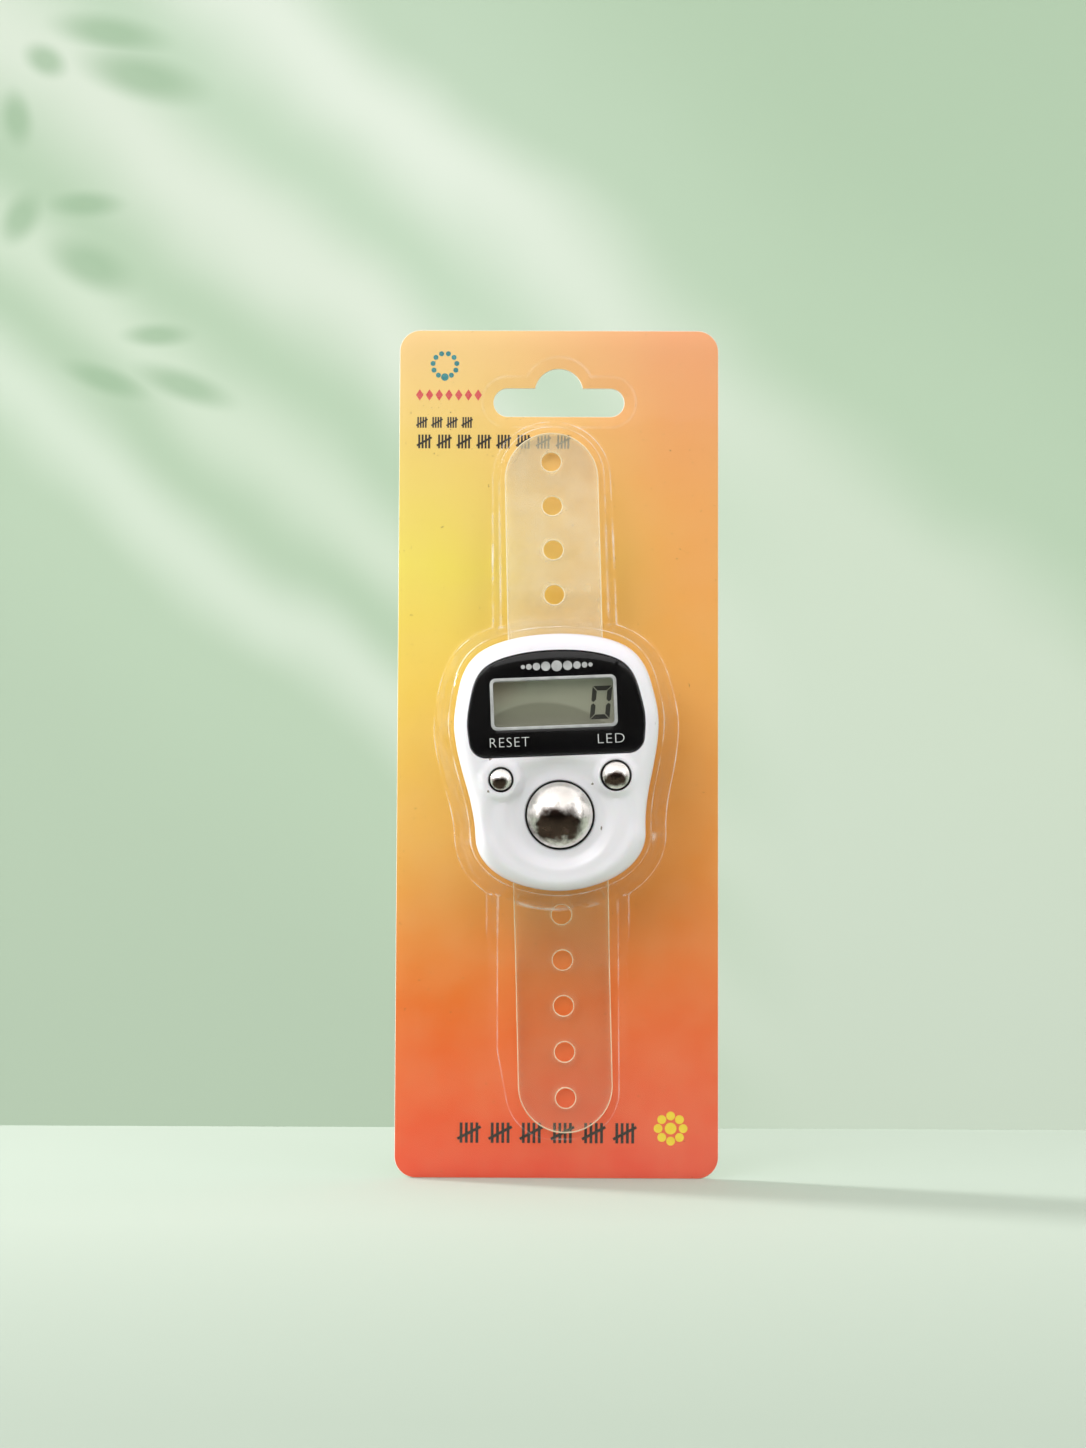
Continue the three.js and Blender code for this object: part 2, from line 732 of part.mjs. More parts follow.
function boardSolid() {
  const plate = slab(flatOutline(-sideWall - boardInset), boardBack, boardFront)
  const kept = block(-bodyWidth, bodyWidth, boardBottom, boardTop, boardBack - 1, boardFront + 1)
  return plate.intersect(kept)
}

// Materials: colour, roughness, metalness
function finish(color, roughness, metalness = 0, opacity = 1) {
  return new THREE.MeshStandardMaterial({ color, roughness, metalness, opacity, transparent: opacity < 1 })
}

function piece(name, body, material) {
  const mesh = new THREE.Mesh(shapeOf(body), material)
  mesh.name = name
  return mesh
}

const whiteShell = () => finish(0xeef0f3, 0.25)
const clearFilm = () => finish(0xfff6e8, 0.05, 0, 0.2)
const chromed = () => finish(0xd8d8d8, 0.08, 1)
const steel = () => finish(0xb9bcc0, 0.35, 1)
const rubber = () => finish(0x9ea3a6, 0.8)
const ceramic = () => finish(0xd9cfae, 0.6)

// Assembly
const pack = new THREE.Group()
pack.add(piece('backing_card', cardPlate(-cardFront, cardFront), finish(0xeda24f, 0.5)))
pack.add(piece('blister', blisterSolid(), clearFilm()))

const strapGroup = new THREE.Group()
strapGroup.position.set(0, cardMiddle, 0)
strapGroup.rotation.z = THREE.MathUtils.degToRad(strapTilt)
strapGroup.add(piece('strap', strapSolid(), finish(0xfdf3e2, 0.3, 0, 0.4)))
pack.add(strapGroup)

const counter = new THREE.Group()
counter.position.set(bodyShift, cardMiddle - bodyDrop, 0)
counter.rotation.z = THREE.MathUtils.degToRad(bodyTilt)
pack.add(counter)

counter.add(piece('front_shell', frontShell(), whiteShell()))
counter.add(piece('rear_shell', rearShell(), whiteShell()))
counter.add(piece('display_lens', slab(lensOutline(0), lensBack, lensFront), finish(0x1c1c1e, 0.08)))

counter.add(piece('circuit_board', boardSolid(), finish(0x2f7a3e, 0.45)))
counter.add(piece('lcd_frame', frameSolid(), finish(0xf4f4f2, 0.5)))
const foilWidth = glassWidth - 2 * foilInset
const foilFoot = glassFoot + 2 * pocketGap
const foilTop = glassTop - 2 * pocketGap
const reflector = centred(foilWidth, foilFoot, foilTop, reflectorBack, reflectorFront)
counter.add(piece('rear_reflector', reflector, finish(0xb8bcae, 0.4, 0.4)))
counter.add(piece('lcd_glass', glassSolid(), finish(0x7d7e6f, 0.15)))
const polarizerBack = glassFront + stackGap / 2
const polarizer = centred(foilWidth, foilFoot, foilTop, polarizerBack, polarizerFront)
counter.add(piece('front_polarizer', polarizer, finish(0x6f7164, 0.2)))
const zebraMiddle = (ledgeFoot + glassFoot) / 2
const zebraLow = zebraMiddle - zebraWidth / 2
const zebraLong = glassWidth - 2 * zebraInset
const zebraBack = boardFront + stackGap
const zebra = centred(zebraLong, zebraLow, zebraLow + zebraWidth, zebraBack, glassMiddle - stackGap)
counter.add(piece('zebra_strip', zebra, finish(0x8d8f92, 0.8)))

const blobY = frameFoot - blobGap - blobRadius
const blobFoot = boardFront + stackGap
const blobProfile = [...domePoints(blobRadius, blobHeight, blobFoot, 3), [0, blobFoot]]
counter.add(piece('chip_blob', moved(turned(blobProfile, 14), [0, blobY, 0]), finish(0x141414, 0.35)))

function boardChip(x, y) {
  const low = boardFront + stackGap
  return block(x - chipLong / 2, x + chipLong / 2, y - chipWide / 2, y + chipWide / 2, low, low + chipTall)
}

counter.add(piece('clock_resistor', boardChip(-chipX, blobY + chipLong / 2), ceramic()))
counter.add(piece('led_resistor', boardChip(chipX, blobY + chipLong / 2), ceramic()))
counter.add(piece('supply_capacitor', boardChip(chipX, blobY - chipLong / 2), ceramic()))

const lampX = glassWidth / 2 + pocketGap + frameWall + restGap + ledWide / 2
function displayLed(side) {
  const x = windowX + side * lampX
  const low = boardFront + stackGap
  const half = ledLong / 2
  return block(x - ledWide / 2, x + ledWide / 2, windowY - half, windowY + half, low, low + ledTall)
}

counter.add(piece('display_led_left', displayLed(-1), finish(0xf2f0d8, 0.3)))
counter.add(piece('display_led_right', displayLed(1), finish(0xf2f0d8, 0.3)))

counter.add(piece('count_button', countButton(), chromed()))
counter.add(piece('reset_button', keyButton(resetCap, resetDome, -keyX), chromed()))
counter.add(piece('led_button', keyButton(ledCap, ledDome, keyX), chromed()))
counter.add(piece('count_cup', rubberCup(countCap * 0.4, 0, countY), rubber()))
counter.add(piece('reset_cup', rubberCup(resetCap * 0.6, -keyX, keyY), rubber()))
counter.add(piece('led_cup', rubberCup(ledCap * 0.5, keyX, keyY), rubber()))

const cell = (x) => rod(x, cellY, cellRadius, cellBack, cellBack + cellThick, 24)
counter.add(piece('button_cell_left', cell(-cellX), steel()))
counter.add(piece('button_cell_right', cell(cellX), steel()))
const strip = (left, right, low) => {
  return block(left, right, cellY - stripWidth / 2, cellY + stripWidth / 2, low, low + stripThick)
}
const reach = cellRadius * 0.8
counter.add(piece('battery_minus_contact', strip(-cellX - reach, -cellX + reach, contactBack), steel()))
counter.add(piece('battery_plus_contact', strip(cellX - reach, cellX + reach, contactBack), steel()))
counter.add(piece('battery_bridge', strip(-cellX - reach / 2, cellX + reach / 2, bridgeStrip), steel()))
counter.add(piece('battery_door', batteryDoor(), whiteShell()))

const addScrew = (name, length, x, y) => {
  const part = piece(name, screw(length), steel())
  part.position.set(x, y, headFloor - screwHeadThick - stackGap)
  counter.add(part)
}
addScrew('battery_door_screw', doorScrewLength, 0, doorScrewY)
for (const [place, [x, y]] of Object.entries(screwPlaces)) {
  addScrew(`shell_screw_${place}`, screwLength, x, y)
}

const group = new THREE.Group()
group.name = 'prayer_counter_pack'
group.add(pack)
pack.rotation.x = Math.PI / 2

export default group
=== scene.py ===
import bmesh
import bpy
import numpy as np
from mathutils import Matrix
from mathutils.geometry import delaunay_2d_cdt


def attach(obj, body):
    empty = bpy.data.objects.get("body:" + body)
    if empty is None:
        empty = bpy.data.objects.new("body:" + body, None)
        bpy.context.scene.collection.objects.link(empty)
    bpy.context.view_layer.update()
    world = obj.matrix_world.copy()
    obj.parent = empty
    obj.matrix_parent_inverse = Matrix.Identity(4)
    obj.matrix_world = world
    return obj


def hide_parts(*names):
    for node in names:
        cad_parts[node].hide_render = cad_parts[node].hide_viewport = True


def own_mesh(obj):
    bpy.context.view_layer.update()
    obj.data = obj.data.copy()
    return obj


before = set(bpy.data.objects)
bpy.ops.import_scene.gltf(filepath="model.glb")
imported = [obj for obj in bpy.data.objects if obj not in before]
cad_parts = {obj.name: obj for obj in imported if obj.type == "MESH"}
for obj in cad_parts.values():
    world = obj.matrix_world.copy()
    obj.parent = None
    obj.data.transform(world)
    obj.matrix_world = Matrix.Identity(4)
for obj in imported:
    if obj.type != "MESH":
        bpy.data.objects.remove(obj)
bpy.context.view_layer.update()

mm = 0.001

# Where each drawing lies: degrees anticlockwise, then across and up from the hanging slot's crown
cardPlace = (0, 0, 0)
counterPlace = (2.4, 0, -65.9)
strapPlace = (1.5, 0, -63.55)
cardMiddle = -63.55

# Levels towards the viewer, from the middle of the card's thickness
level = {
    "cardFront": 0.25, "filmBase": 0.3, "strapBack": 4.75, "seam": 9.35,
    "flangeBack": 13.4, "flangeFront": 14.0, "roof": 14.3, "polarizerFront": 14.2, "recessFloor": 15.45,
    "lensBack": 15.55, "lensFront": 16.35, "face": 16.7, "filmTop": 19.0275,
}


# Paths and distances

# Each vector over its own length.
def unit(vectors):
    return vectors / np.linalg.norm(vectors, axis=-1, keepdims=True)


# Puts points on the sides of a closed path so that none is longer than step.
def spaced(path, step):
    side = np.roll(path, -1, 0) - path
    counts = np.maximum(1, np.ceil(np.linalg.norm(side, axis=1) / step).astype(int))
    index = np.repeat(np.arange(len(path)), counts)
    first = np.repeat(np.cumsum(counts) - counts, counts)
    share = (np.arange(len(index)) - first) / counts[index]
    return path[index] + share[:, None] * side[index]


# A path through corners, each rounded by an arc of its own radius.
def arcCorners(corners, radii, closed=True, step=0.15):
    corners = np.array(corners, float)
    radii = np.broadcast_to(radii, len(corners))
    parts = []
    for i, (at, radius) in enumerate(zip(corners, radii)):
        if radius == 0 or (not closed and i in (0, len(corners) - 1)):
            parts.append(at[None])
            continue
        back = unit(corners[i - 1] - at)
        ahead = unit(corners[(i + 1) % len(corners)] - at)
        half = np.arccos(np.clip(back @ ahead, -1, 1)) / 2
        centre = at + unit(back + ahead) * radius / np.sin(half)
        start, end = (at + way * radius / np.tan(half) - centre for way in (back, ahead))
        first = np.arctan2(start[1], start[0])
        sweep = (np.arctan2(end[1], end[0]) - first + np.pi) % (2 * np.pi) - np.pi
        turn = first + sweep * np.linspace(0, 1, max(3, int(abs(sweep) * radius / step) + 2))
        parts.append(centre + radius * np.stack([np.cos(turn), np.sin(turn)], 1))
    return np.concatenate(parts)


# A box with round corners, anticlockwise about its middle.
def roundedBox(width, height, radius, x=0, y=0, step=0.3):
    w, h = width / 2, height / 2
    corners = [(x + w, y - h), (x + w, y + h), (x - w, y + h), (x - w, y - h)]
    return spaced(arcCorners(corners, radius), step)


# Points at even turns round a middle.
def circle(x, y, radius, count=64):
    turn = np.linspace(0, 2 * np.pi, count, endpoint=False)
    return np.stack([x + radius * np.cos(turn), y + radius * np.sin(turn)], 1)


# A closed cubic spline through the points with equal curvature on both sides of each, evenly spaced.
def smoothLoop(points, count):
    p = np.array(points, float)
    n = len(p)
    h = np.sqrt(np.linalg.norm(np.roll(p, -1, 0) - p, axis=1))
    back = np.roll(h, 1)
    i = np.arange(n)
    rows = np.zeros((n, n))
    rows[i, i] = 2 * (1 / back + 1 / h)
    rows[i, (i - 1) % n] += 1 / back
    rows[i, (i + 1) % n] += 1 / h
    rise = (np.roll(p, -1, 0) - p) / h[:, None] ** 2
    slope = np.linalg.solve(rows, 3 * (rise + np.roll(rise, 1, 0)))
    t = np.linspace(0, 1, 60, endpoint=False)[None, :, None]
    a, b = p[:, None], np.roll(p, -1, 0)[:, None]
    u, v = (slope * h[:, None])[:, None], (np.roll(slope, -1, 0) * h[:, None])[:, None]
    fine = (2 * t**3 - 3 * t**2 + 1) * a + (t**3 - 2 * t**2 + t) * u
    fine = (fine + (3 * t**2 - 2 * t**3) * b + (t**3 - t**2) * v).reshape(-1, 2)
    along = np.concatenate([[0], np.cumsum(np.linalg.norm(np.roll(fine, -1, 0) - fine, axis=1))])
    closed = np.concatenate([fine, fine[:1]])
    at = np.linspace(0, along[-1], count, endpoint=False)
    return np.stack([np.interp(at, along, closed[:, k]) for k in (0, 1)], 1)


# The direction out of an anticlockwise loop at each of its points.
def sideways(loop):
    along = unit(np.roll(loop, -1, 0) - np.roll(loop, 1, 0))
    return np.stack([along[:, 1], -along[:, 0]], 1)


# Each point moved out by a gap, or in by one below zero.
def grown(loop, gap):
    return loop + sideways(loop) * gap


# How far each point lies inside a closed loop, and below zero outside it.
def depthInside(points, loop):
    a, b = loop, np.roll(loop, -1, 0)
    side = b - a
    square = (side**2).sum(1)
    depth = np.empty(len(points))
    for part in np.array_split(np.arange(len(points)), len(points) // 3000 + 1):
        p = points[part][:, None]
        share = np.clip(((p - a) * side).sum(-1) / square, 0, 1)
        gap = np.linalg.norm(p - a - share[..., None] * side, axis=-1).min(1)
        x, y = p[..., 0], p[..., 1]
        spans = (a[:, 1] > y) != (b[:, 1] > y)
        rise = np.where(side[:, 1] == 0, 1, side[:, 1])
        crossed = spans & (x < a[:, 0] + (y - a[:, 1]) * side[:, 0] / rise)
        depth[part] = np.where(crossed.sum(1) % 2 == 1, gap, -gap)
    return depth


# Rows of points a step apart, every other row moved by half a step.
def hexGrid(left, right, low, high, step):
    x, y = np.meshgrid(np.arange(left, right, step), np.arange(low, high, step * 0.866))
    x = x + step / 2 * (np.arange(len(x)) % 2)[:, None]
    return np.stack([x.ravel(), y.ravel()], 1)


# Three t squared less two t cubed, where t runs from 0 at low to 1 at high.
def smooth(low, high, value):
    t = np.clip((value - low) / (high - low), 0, 1)
    return t * t * (3 - 2 * t)


# Points turned about the origin and then moved.
def turned(points, degrees, across=0.0, up=0.0):
    c, s = np.cos(np.radians(degrees)), np.sin(np.radians(degrees))
    x, y = points[:, 0], points[:, 1]
    return np.stack([x * c - y * s + across, x * s + y * c + up], 1)


# Meshes: each piece is a list of chunks, a chunk is points and faces, and equal points are joined

# A loop in the plane with its height as a third column.
def atHeight(loop, z):
    return np.column_stack([loop, np.broadcast_to(z, len(loop))])


# Four-sided faces between closed rings of as many points each.
def bands(rings):
    rings = np.array(rings, float)
    k, n = rings.shape[:2]
    j, i = np.meshgrid(np.arange(k - 1), np.arange(n), indexing="ij")
    a, b = j * n + i, j * n + (i + 1) % n
    return rings.reshape(-1, 3), np.stack([a, b, b + n, a + n], -1).reshape(-1, 4)


# Triangles between points in the plane that keep the given edges.
def triangles(points, edges):
    found = delaunay_2d_cdt(points.tolist(), edges.tolist(), [], 0, 1e-7)
    return np.array([v[:] for v in found[0]]), np.array(found[2])


# Pairs of neighbouring points round each loop, numbered through all the loops.
def loopEdges(loops):
    edges, start = [], 0
    for loop in loops:
        i = np.arange(len(loop))
        edges.append(start + np.stack([i, (i + 1) % len(loop)], 1))
        start += len(loop)
    return np.concatenate(edges)


# The area inside the first loop and outside the others, at a height given by a function of the plane.
def sheet(loops, height, inner=(), extra=None):
    extra = np.zeros((0, 2)) if extra is None else extra
    flat, faces = triangles(np.concatenate([*loops, *inner, extra]), loopEdges([*loops, *inner]))
    middle = flat[faces].mean(1)
    kept = depthInside(middle, loops[0]) > 0
    for hole in loops[1:]:
        kept &= depthInside(middle, hole) < 0
    z = height(flat) if callable(height) else np.full(len(flat), float(height))
    return np.column_stack([flat, z]), faces[kept]


# Rings over a rounded edge, down the side and under the other rounded edge.
def edgeRings(loop, radius, top, bottom, steps=3):
    turn = np.linspace(0, np.pi / 2, steps + 1)
    insets, drops = radius * (1 - np.sin(turn)), radius * (1 - np.cos(turn))
    above = [atHeight(grown(loop, -inset), top - drop) for inset, drop in zip(insets, drops)]
    below = [atHeight(grown(loop, -inset), bottom + drop) for inset, drop in zip(insets, drops)]
    return above + below[::-1]


# A flat plate with round edges. Its holes run clockwise. lift bends it by a function of the plane.
def plate(loops, low, high, radius, extra=None, lift=None):
    inset = [grown(loop, -radius) for loop in loops]
    chunks = [sheet(inset, high, extra=extra), sheet(inset, low, extra=extra)]
    chunks += [bands(edgeRings(loop, radius, high, low)) for loop in loops]
    if lift is None:
        return chunks
    return [(p + np.array([0, 0, 1]) * lift(p[:, :2])[:, None], f) for p, f in chunks]


# A profile of radius and height carried round an upright axis.
def lathe(profile, x, y, steps=96):
    turn = np.linspace(0, 2 * np.pi, steps, endpoint=False)
    r, z = np.array(profile, float).T
    across, up = x + r[:, None] * np.cos(turn), y + r[:, None] * np.sin(turn)
    return bands(np.stack([across, up, np.broadcast_to(z[:, None], across.shape)], -1))


# Adds a value's columns to each point, which makePiece keeps as an attribute.
def marked(chunks, value):
    return [(np.column_stack([p, value(p)]), f) for p, f in chunks]


# Chunks as one mesh: points within a fifth of a micron are one, and flat faces shrink or go.
def joinedChunks(chunks):
    points = np.concatenate([p for p, f in chunks])
    starts = np.cumsum([0] + [len(p) for p, f in chunks])
    faces = [f + s for (p, f), s in zip(chunks, starts)]
    key = np.round(points[:, :3] * 5000).astype(np.int64)
    first, same = np.unique(key, axis=0, return_index=True, return_inverse=True)[1:]
    same = same.ravel()
    tris = [same[f] for f in faces if f.shape[1] == 3]
    quads = [same[f] for f in faces if f.shape[1] == 4]
    tris = np.concatenate(tris) if tris else np.zeros((0, 3), int)
    quads = np.concatenate(quads) if quads else np.zeros((0, 4), int)
    closed = quads == np.roll(quads, -1, 1)
    twice = closed.sum(1)
    for k in range(4):
        sliver = quads[(twice == 1) & closed[:, k]]
        tris = np.concatenate([tris, np.delete(sliver, k, 1)])
    quads = quads[twice == 0]
    tris = tris[(tris != np.roll(tris, 1, 1)).all(1)]
    used, corners = np.unique(np.concatenate([tris.ravel(), quads.ravel()]), return_inverse=True)
    corners = corners.ravel()
    return points[first][used], corners[:tris.size].reshape(-1, 3), corners[tris.size:].reshape(-1, 4)


# Builds the mesh. mark names the attribute that keeps the chunks' further columns.
def makePiece(name, chunks, place, body, finish, nodes=(), crease=32, mark=None):
    points, tris, quads = joinedChunks(chunks)
    mesh = bpy.data.meshes.new(name)
    mesh.vertices.add(len(points))
    mesh.vertices.foreach_set("co", placed(points, place).ravel())
    corners = np.concatenate([tris.ravel(), quads.ravel()])
    sizes = np.concatenate([np.full(len(tris), 3), np.full(len(quads), 4)])
    mesh.loops.add(len(corners))
    mesh.loops.foreach_set("vertex_index", corners)
    mesh.polygons.add(len(sizes))
    mesh.polygons.foreach_set("loop_start", np.cumsum(sizes) - sizes)
    mesh.update(calc_edges=True)
    mesh.validate()
    shaped = bmesh.new()
    shaped.from_mesh(mesh)
    bmesh.ops.recalc_face_normals(shaped, faces=shaped.faces)
    shaped.to_mesh(mesh)
    openEdges = sum(1 for e in shaped.edges if len(e.link_faces) != 2)
    shaped.free()
    mesh.shade_smooth()
    mesh.set_sharp_from_angle(angle=np.radians(crease))
    if mark:
        kind, key = ("FLOAT", "value") if points.shape[1] == 4 else ("FLOAT_VECTOR", "vector")
        mesh.attributes.new(mark, kind, "POINT").data.foreach_set(key, points[:, 3:].ravel())
    made = bpy.data.objects.new(name, mesh)
    bpy.context.scene.collection.objects.link(made)
    mesh.materials.append(finish)
    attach(made, body)
    if nodes:
        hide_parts(*nodes)
    print(f"{name}: {len(tris) + 2 * len(quads)} triangles, {openEdges} open edges")
    return made


# Drawn points turned upright, in metres: height above the card comes towards the viewer.
def placed(points, place):
    flat = turned(points[:, :2], *place)
    return np.column_stack([flat[:, 0], -points[:, 2], flat[:, 1]]) * mm


# Materials. A pattern is sized by its patches in mm: noise of scale 1 / size has one patch in each size.

# Linear values of an sRGB colour: low values over 12.92, the others nearly to the power of 2.4.
def hexColor(text):
    values = np.array([int(text[i:i + 2], 16) for i in (1, 3, 5)]) / 255
    linear = np.where(values <= 0.04045, values / 12.92, ((values + 0.055) / 1.055) ** 2.4)
    return (*linear.tolist(), 1)


# An empty material and its node tree.
def newMaterial(name):
    made = bpy.data.materials.new(name)
    made.use_nodes = True
    made.node_tree.nodes.clear()
    return made, made.node_tree


# Adds one node with its settings, the values or links of its sockets, and the stops of a colour ramp.
def add(tree, kind, sockets=None, stops=(), shape="LINEAR", **settings):
    made = tree.nodes.new("ShaderNode" + kind)
    for key, value in settings.items():
        setattr(made, key, value)
    for key, value in (sockets or {}).items():
        if isinstance(value, bpy.types.NodeSocket):
            tree.links.new(value, made.inputs[key])
        else:
            made.inputs[key].default_value = hexColor(value) if isinstance(value, str) else value
    if stops:
        made.color_ramp.interpolation = shape
        elements = made.color_ramp.elements
        while len(elements) < len(stops):
            elements.new(0.5)
        for element, (at, color) in zip(elements, stops):
            element.position = at
            element.color = hexColor(color)
    return made


# Noise with one patch in each size mm. Its values from low to high are spread over the two of result.
def patches(tree, size, detail, result, low=0.3, high=0.7, roughness=0.5):
    place = add(tree, "TexCoord").outputs["Object"]
    sockets = {"Vector": place, "Scale": 1 / (size * mm), "Detail": detail, "Roughness": roughness}
    cloud = add(tree, "TexNoise", sockets).outputs["Fac"]
    sockets = {"Value": cloud, "From Min": low, "From Max": high, "To Min": result[0], "To Max": result[1]}
    return add(tree, "MapRange", sockets).outputs["Result"]


# Lays one colour over another where such noise is high: a drift of tone, dust or pits.
def mottled(tree, color, other, size, detail, result=(0, 1), low=0.3, high=0.7):
    sockets = {0: patches(tree, size, detail, result, low, high), 6: color, 7: other}
    return add(tree, "Mix", sockets, data_type="RGBA").outputs[2]


# The normal of a surface whose height follows such noise, depth mm deep at full strength.
def grainNormal(tree, size, detail, strength, depth, roughness=0.5):
    grain = patches(tree, size, detail, (0, 1), 0, 1, roughness)
    sockets = {"Height": grain, "Strength": strength, "Distance": depth * mm}
    return add(tree, "Bump", sockets).outputs["Normal"]


# Ends a tree in a solid surface.
def addSurface(tree, sockets):
    shader = add(tree, "BsdfPrincipled", sockets).outputs["BSDF"]
    add(tree, "OutputMaterial", {"Surface": shader})


# Moulded, printed or plated: colour and roughness drift over patches, under a grain a twelfth as wide.
def plainFinish(name, color, other, patch, rough, metallic=0.0):
    made, tree = newMaterial(name)
    addSurface(tree, {
        "Base Color": mottled(tree, color, other, patch, 4), "Roughness": patches(tree, patch, 4, rough),
        "Metallic": metallic, "Normal": grainNormal(tree, patch / 12, 3, 0.02, 0.2),
    })
    return made


print("Stage, camera and lights")

camera = {"place": (-0.64, -399.4, -80.08), "yaw": -0.259, "pitch": 3.0, "roll": 0.224, "focal": 2420 / 1448}
stage = {"floor": -133.55, "tableBack": 72, "wall": 450, "reach": 1400, "front": -420, "clothFoot": -420,
         "clothBack": -900, "clothTop": 150, "clothReach": 900}


# Ahead follows the yaw and the pitch, and right and up are turned about it by the roll.
def setCamera(values):
    yaw, pitch, roll = (np.radians(values[k]) for k in ("yaw", "pitch", "roll"))
    ahead = np.array([np.sin(yaw) * np.cos(pitch), np.cos(yaw) * np.cos(pitch), np.sin(pitch)])
    right = np.array([np.cos(yaw), -np.sin(yaw), 0])
    up = np.cross(right, ahead)
    across = np.cos(roll) * right + np.sin(roll) * up
    over = np.cos(roll) * up - np.sin(roll) * right
    data = bpy.data.cameras.new("camera")
    data.sensor_fit = "VERTICAL"
    data.sensor_height = 24
    data.lens = 24 * values["focal"]
    data.clip_start = 0.01
    data.clip_end = 20
    made = bpy.data.objects.new("camera", data)
    bpy.context.scene.collection.objects.link(made)
    matrix = np.eye(4)
    matrix[:3, :3] = np.stack([across, over, -ahead], 1)
    matrix[:3, 3] = np.array(values["place"]) * mm
    made.matrix_world = Matrix(matrix.tolist())
    bpy.context.scene.camera = made


# Soft shadows of leaves on the wall: across, height, half length, half width and lean
leafShadows = [
    (-191, 144, 8.6, 5.5, -60), (-168, 149, 11, 4, 0), (-166, 127, 14, 7, 25), (-142, 102, 10, 3.5, 0),
    (-183, 201, 7, 4.7, 30), (-160, 211, 17, 5.5, 10), (-193, 180, 8.6, 4.7, 80), (-132, 84, 15, 4.7, 20),
    (-160, 86, 13, 4, 20), (-148, 195, 19, 7, 15),
]


# Matt paper, which shows no gloss. Its colour is worked out by a function of the tree and the object's axes.
def paper(name, color):
    made, tree = newMaterial(name)
    axes = add(tree, "SeparateXYZ", {"Vector": add(tree, "TexCoord").outputs["Object"]}).outputs
    addSurface(tree, {"Base Color": color(tree, axes), "Roughness": 0.9, "Specular IOR Level": 0.1})
    return made


# Slanting bands of window light, from f = 0.61 - 1.96 height - 1.65 across in metres, plainer to the right,
# under soft ovals: a leaf's shade falls off with the distance from its middle over its half length and width.
def wallColor(tree, axes):
    start = patches(tree, 111.1, 2, (0.56, 0.66), 0, 1)
    high = add(tree, "Math", {0: axes["Z"], 1: -1.965, 2: start}, operation="MULTIPLY_ADD").outputs[0]
    slant = add(tree, "Math", {0: axes["X"], 1: -1.649, 2: high}, operation="MULTIPLY_ADD").outputs[0]
    striped = add(tree, "ValToRGB", {"Fac": slant}, [
        (0.08, "#bbd3b8"), (0.27, "#c3d9c1"), (0.35, "#e5f0e2"), (0.44, "#c6dcc4"), (0.515, "#dfebdb"),
        (0.6, "#bdd5ba"), (0.66, "#d4e5d0"), (0.715, "#bcd4b9"), (0.77, "#d8e8d5"), (0.83, "#bfd6bc"),
        (1, "#bcd2b9"),
    ], "EASE").outputs["Color"]
    plain = add(tree, "ValToRGB", {"Fac": slant}, [
        (0.08, "#b7d0b4"), (0.26, "#bcd4b9"), (0.37, "#d2e2ce"), (0.6, "#d2e2cf"), (1, "#cfe0cb"),
    ], "EASE").outputs["Color"]
    over = add(tree, "MapRange", {"Value": axes["X"], "From Min": -0.04, "From Max": 0.09}).outputs["Result"]
    light = add(tree, "Mix", {0: over, 6: striped, 7: plain}, data_type="RGBA").outputs[2]
    shade = 0
    for x, z, long, wide, lean in leafShadows:
        place = add(tree, "Mapping", {
            "Vector": add(tree, "TexCoord").outputs["Object"], "Rotation": (0, np.radians(lean), 0),
            "Location": (x * mm, stage["wall"] * mm, z * mm), "Scale": (long * mm, 1, wide * mm),
        }, vector_type="TEXTURE").outputs["Vector"]
        reach = add(tree, "VectorMath", {0: place}, operation="LENGTH").outputs["Value"]
        leaf = add(tree, "MapRange", {"Value": reach, "From Min": 1.6, "From Max": 0.3, "To Max": 0.74},
                   interpolation_type="SMOOTHSTEP").outputs["Result"]
        shade = add(tree, "Math", {0: leaf, 1: shade}, operation="MAXIMUM").outputs[0]
    return add(tree, "Mix", {0: shade, 6: light, 7: "#a1c09f"}, data_type="RGBA").outputs[2]


# Sage within the frame, a little darker near its lower edge, and dark towards the cloth in front of it.
def floorColor(tree, axes):
    low = add(tree, "MapRange", {"Value": axes["Y"], "From Min": -0.05, "From Max": -0.17}).outputs["Result"]
    near = add(tree, "MapRange", {"Value": axes["Y"], "From Min": -0.185, "From Max": -0.4}).outputs["Result"]
    sage = add(tree, "Mix", {0: low, 6: "#b1bbb0", 7: "#a4afa3"}, data_type="RGBA").outputs[2]
    return add(tree, "Mix", {0: near, 6: sage, 7: "#3a2f29"}, data_type="RGBA").outputs[2]


# The cloth that the chrome mirrors: dark at its foot and paler upwards.
def clothColor(tree, axes):
    high = add(tree, "MapRange", {"Value": axes["Z"], "From Min": -0.12, "From Max": 0.15}).outputs["Result"]
    return add(tree, "Mix", {0: high, 6: "#2b231f", 7: "#6d655e"}, data_type="RGBA").outputs[2]


# A sheet with the given profile from the side, as wide as reach to either hand.
def stagePiece(name, side, reach, finish):
    points = np.concatenate([np.column_stack([np.full(len(side), x), side]) for x in (-reach, reach)]) * mm
    i = np.arange(len(side) - 1)
    faces = np.stack([i, i + len(side), i + len(side) + 1, i + 1], 1)
    mesh = bpy.data.meshes.new(name)
    mesh.from_pydata(points.tolist(), [], faces.tolist())
    mesh.shade_smooth()
    mesh.materials.append(finish)
    made = bpy.data.objects.new(name, mesh)
    bpy.context.scene.collection.objects.link(made)


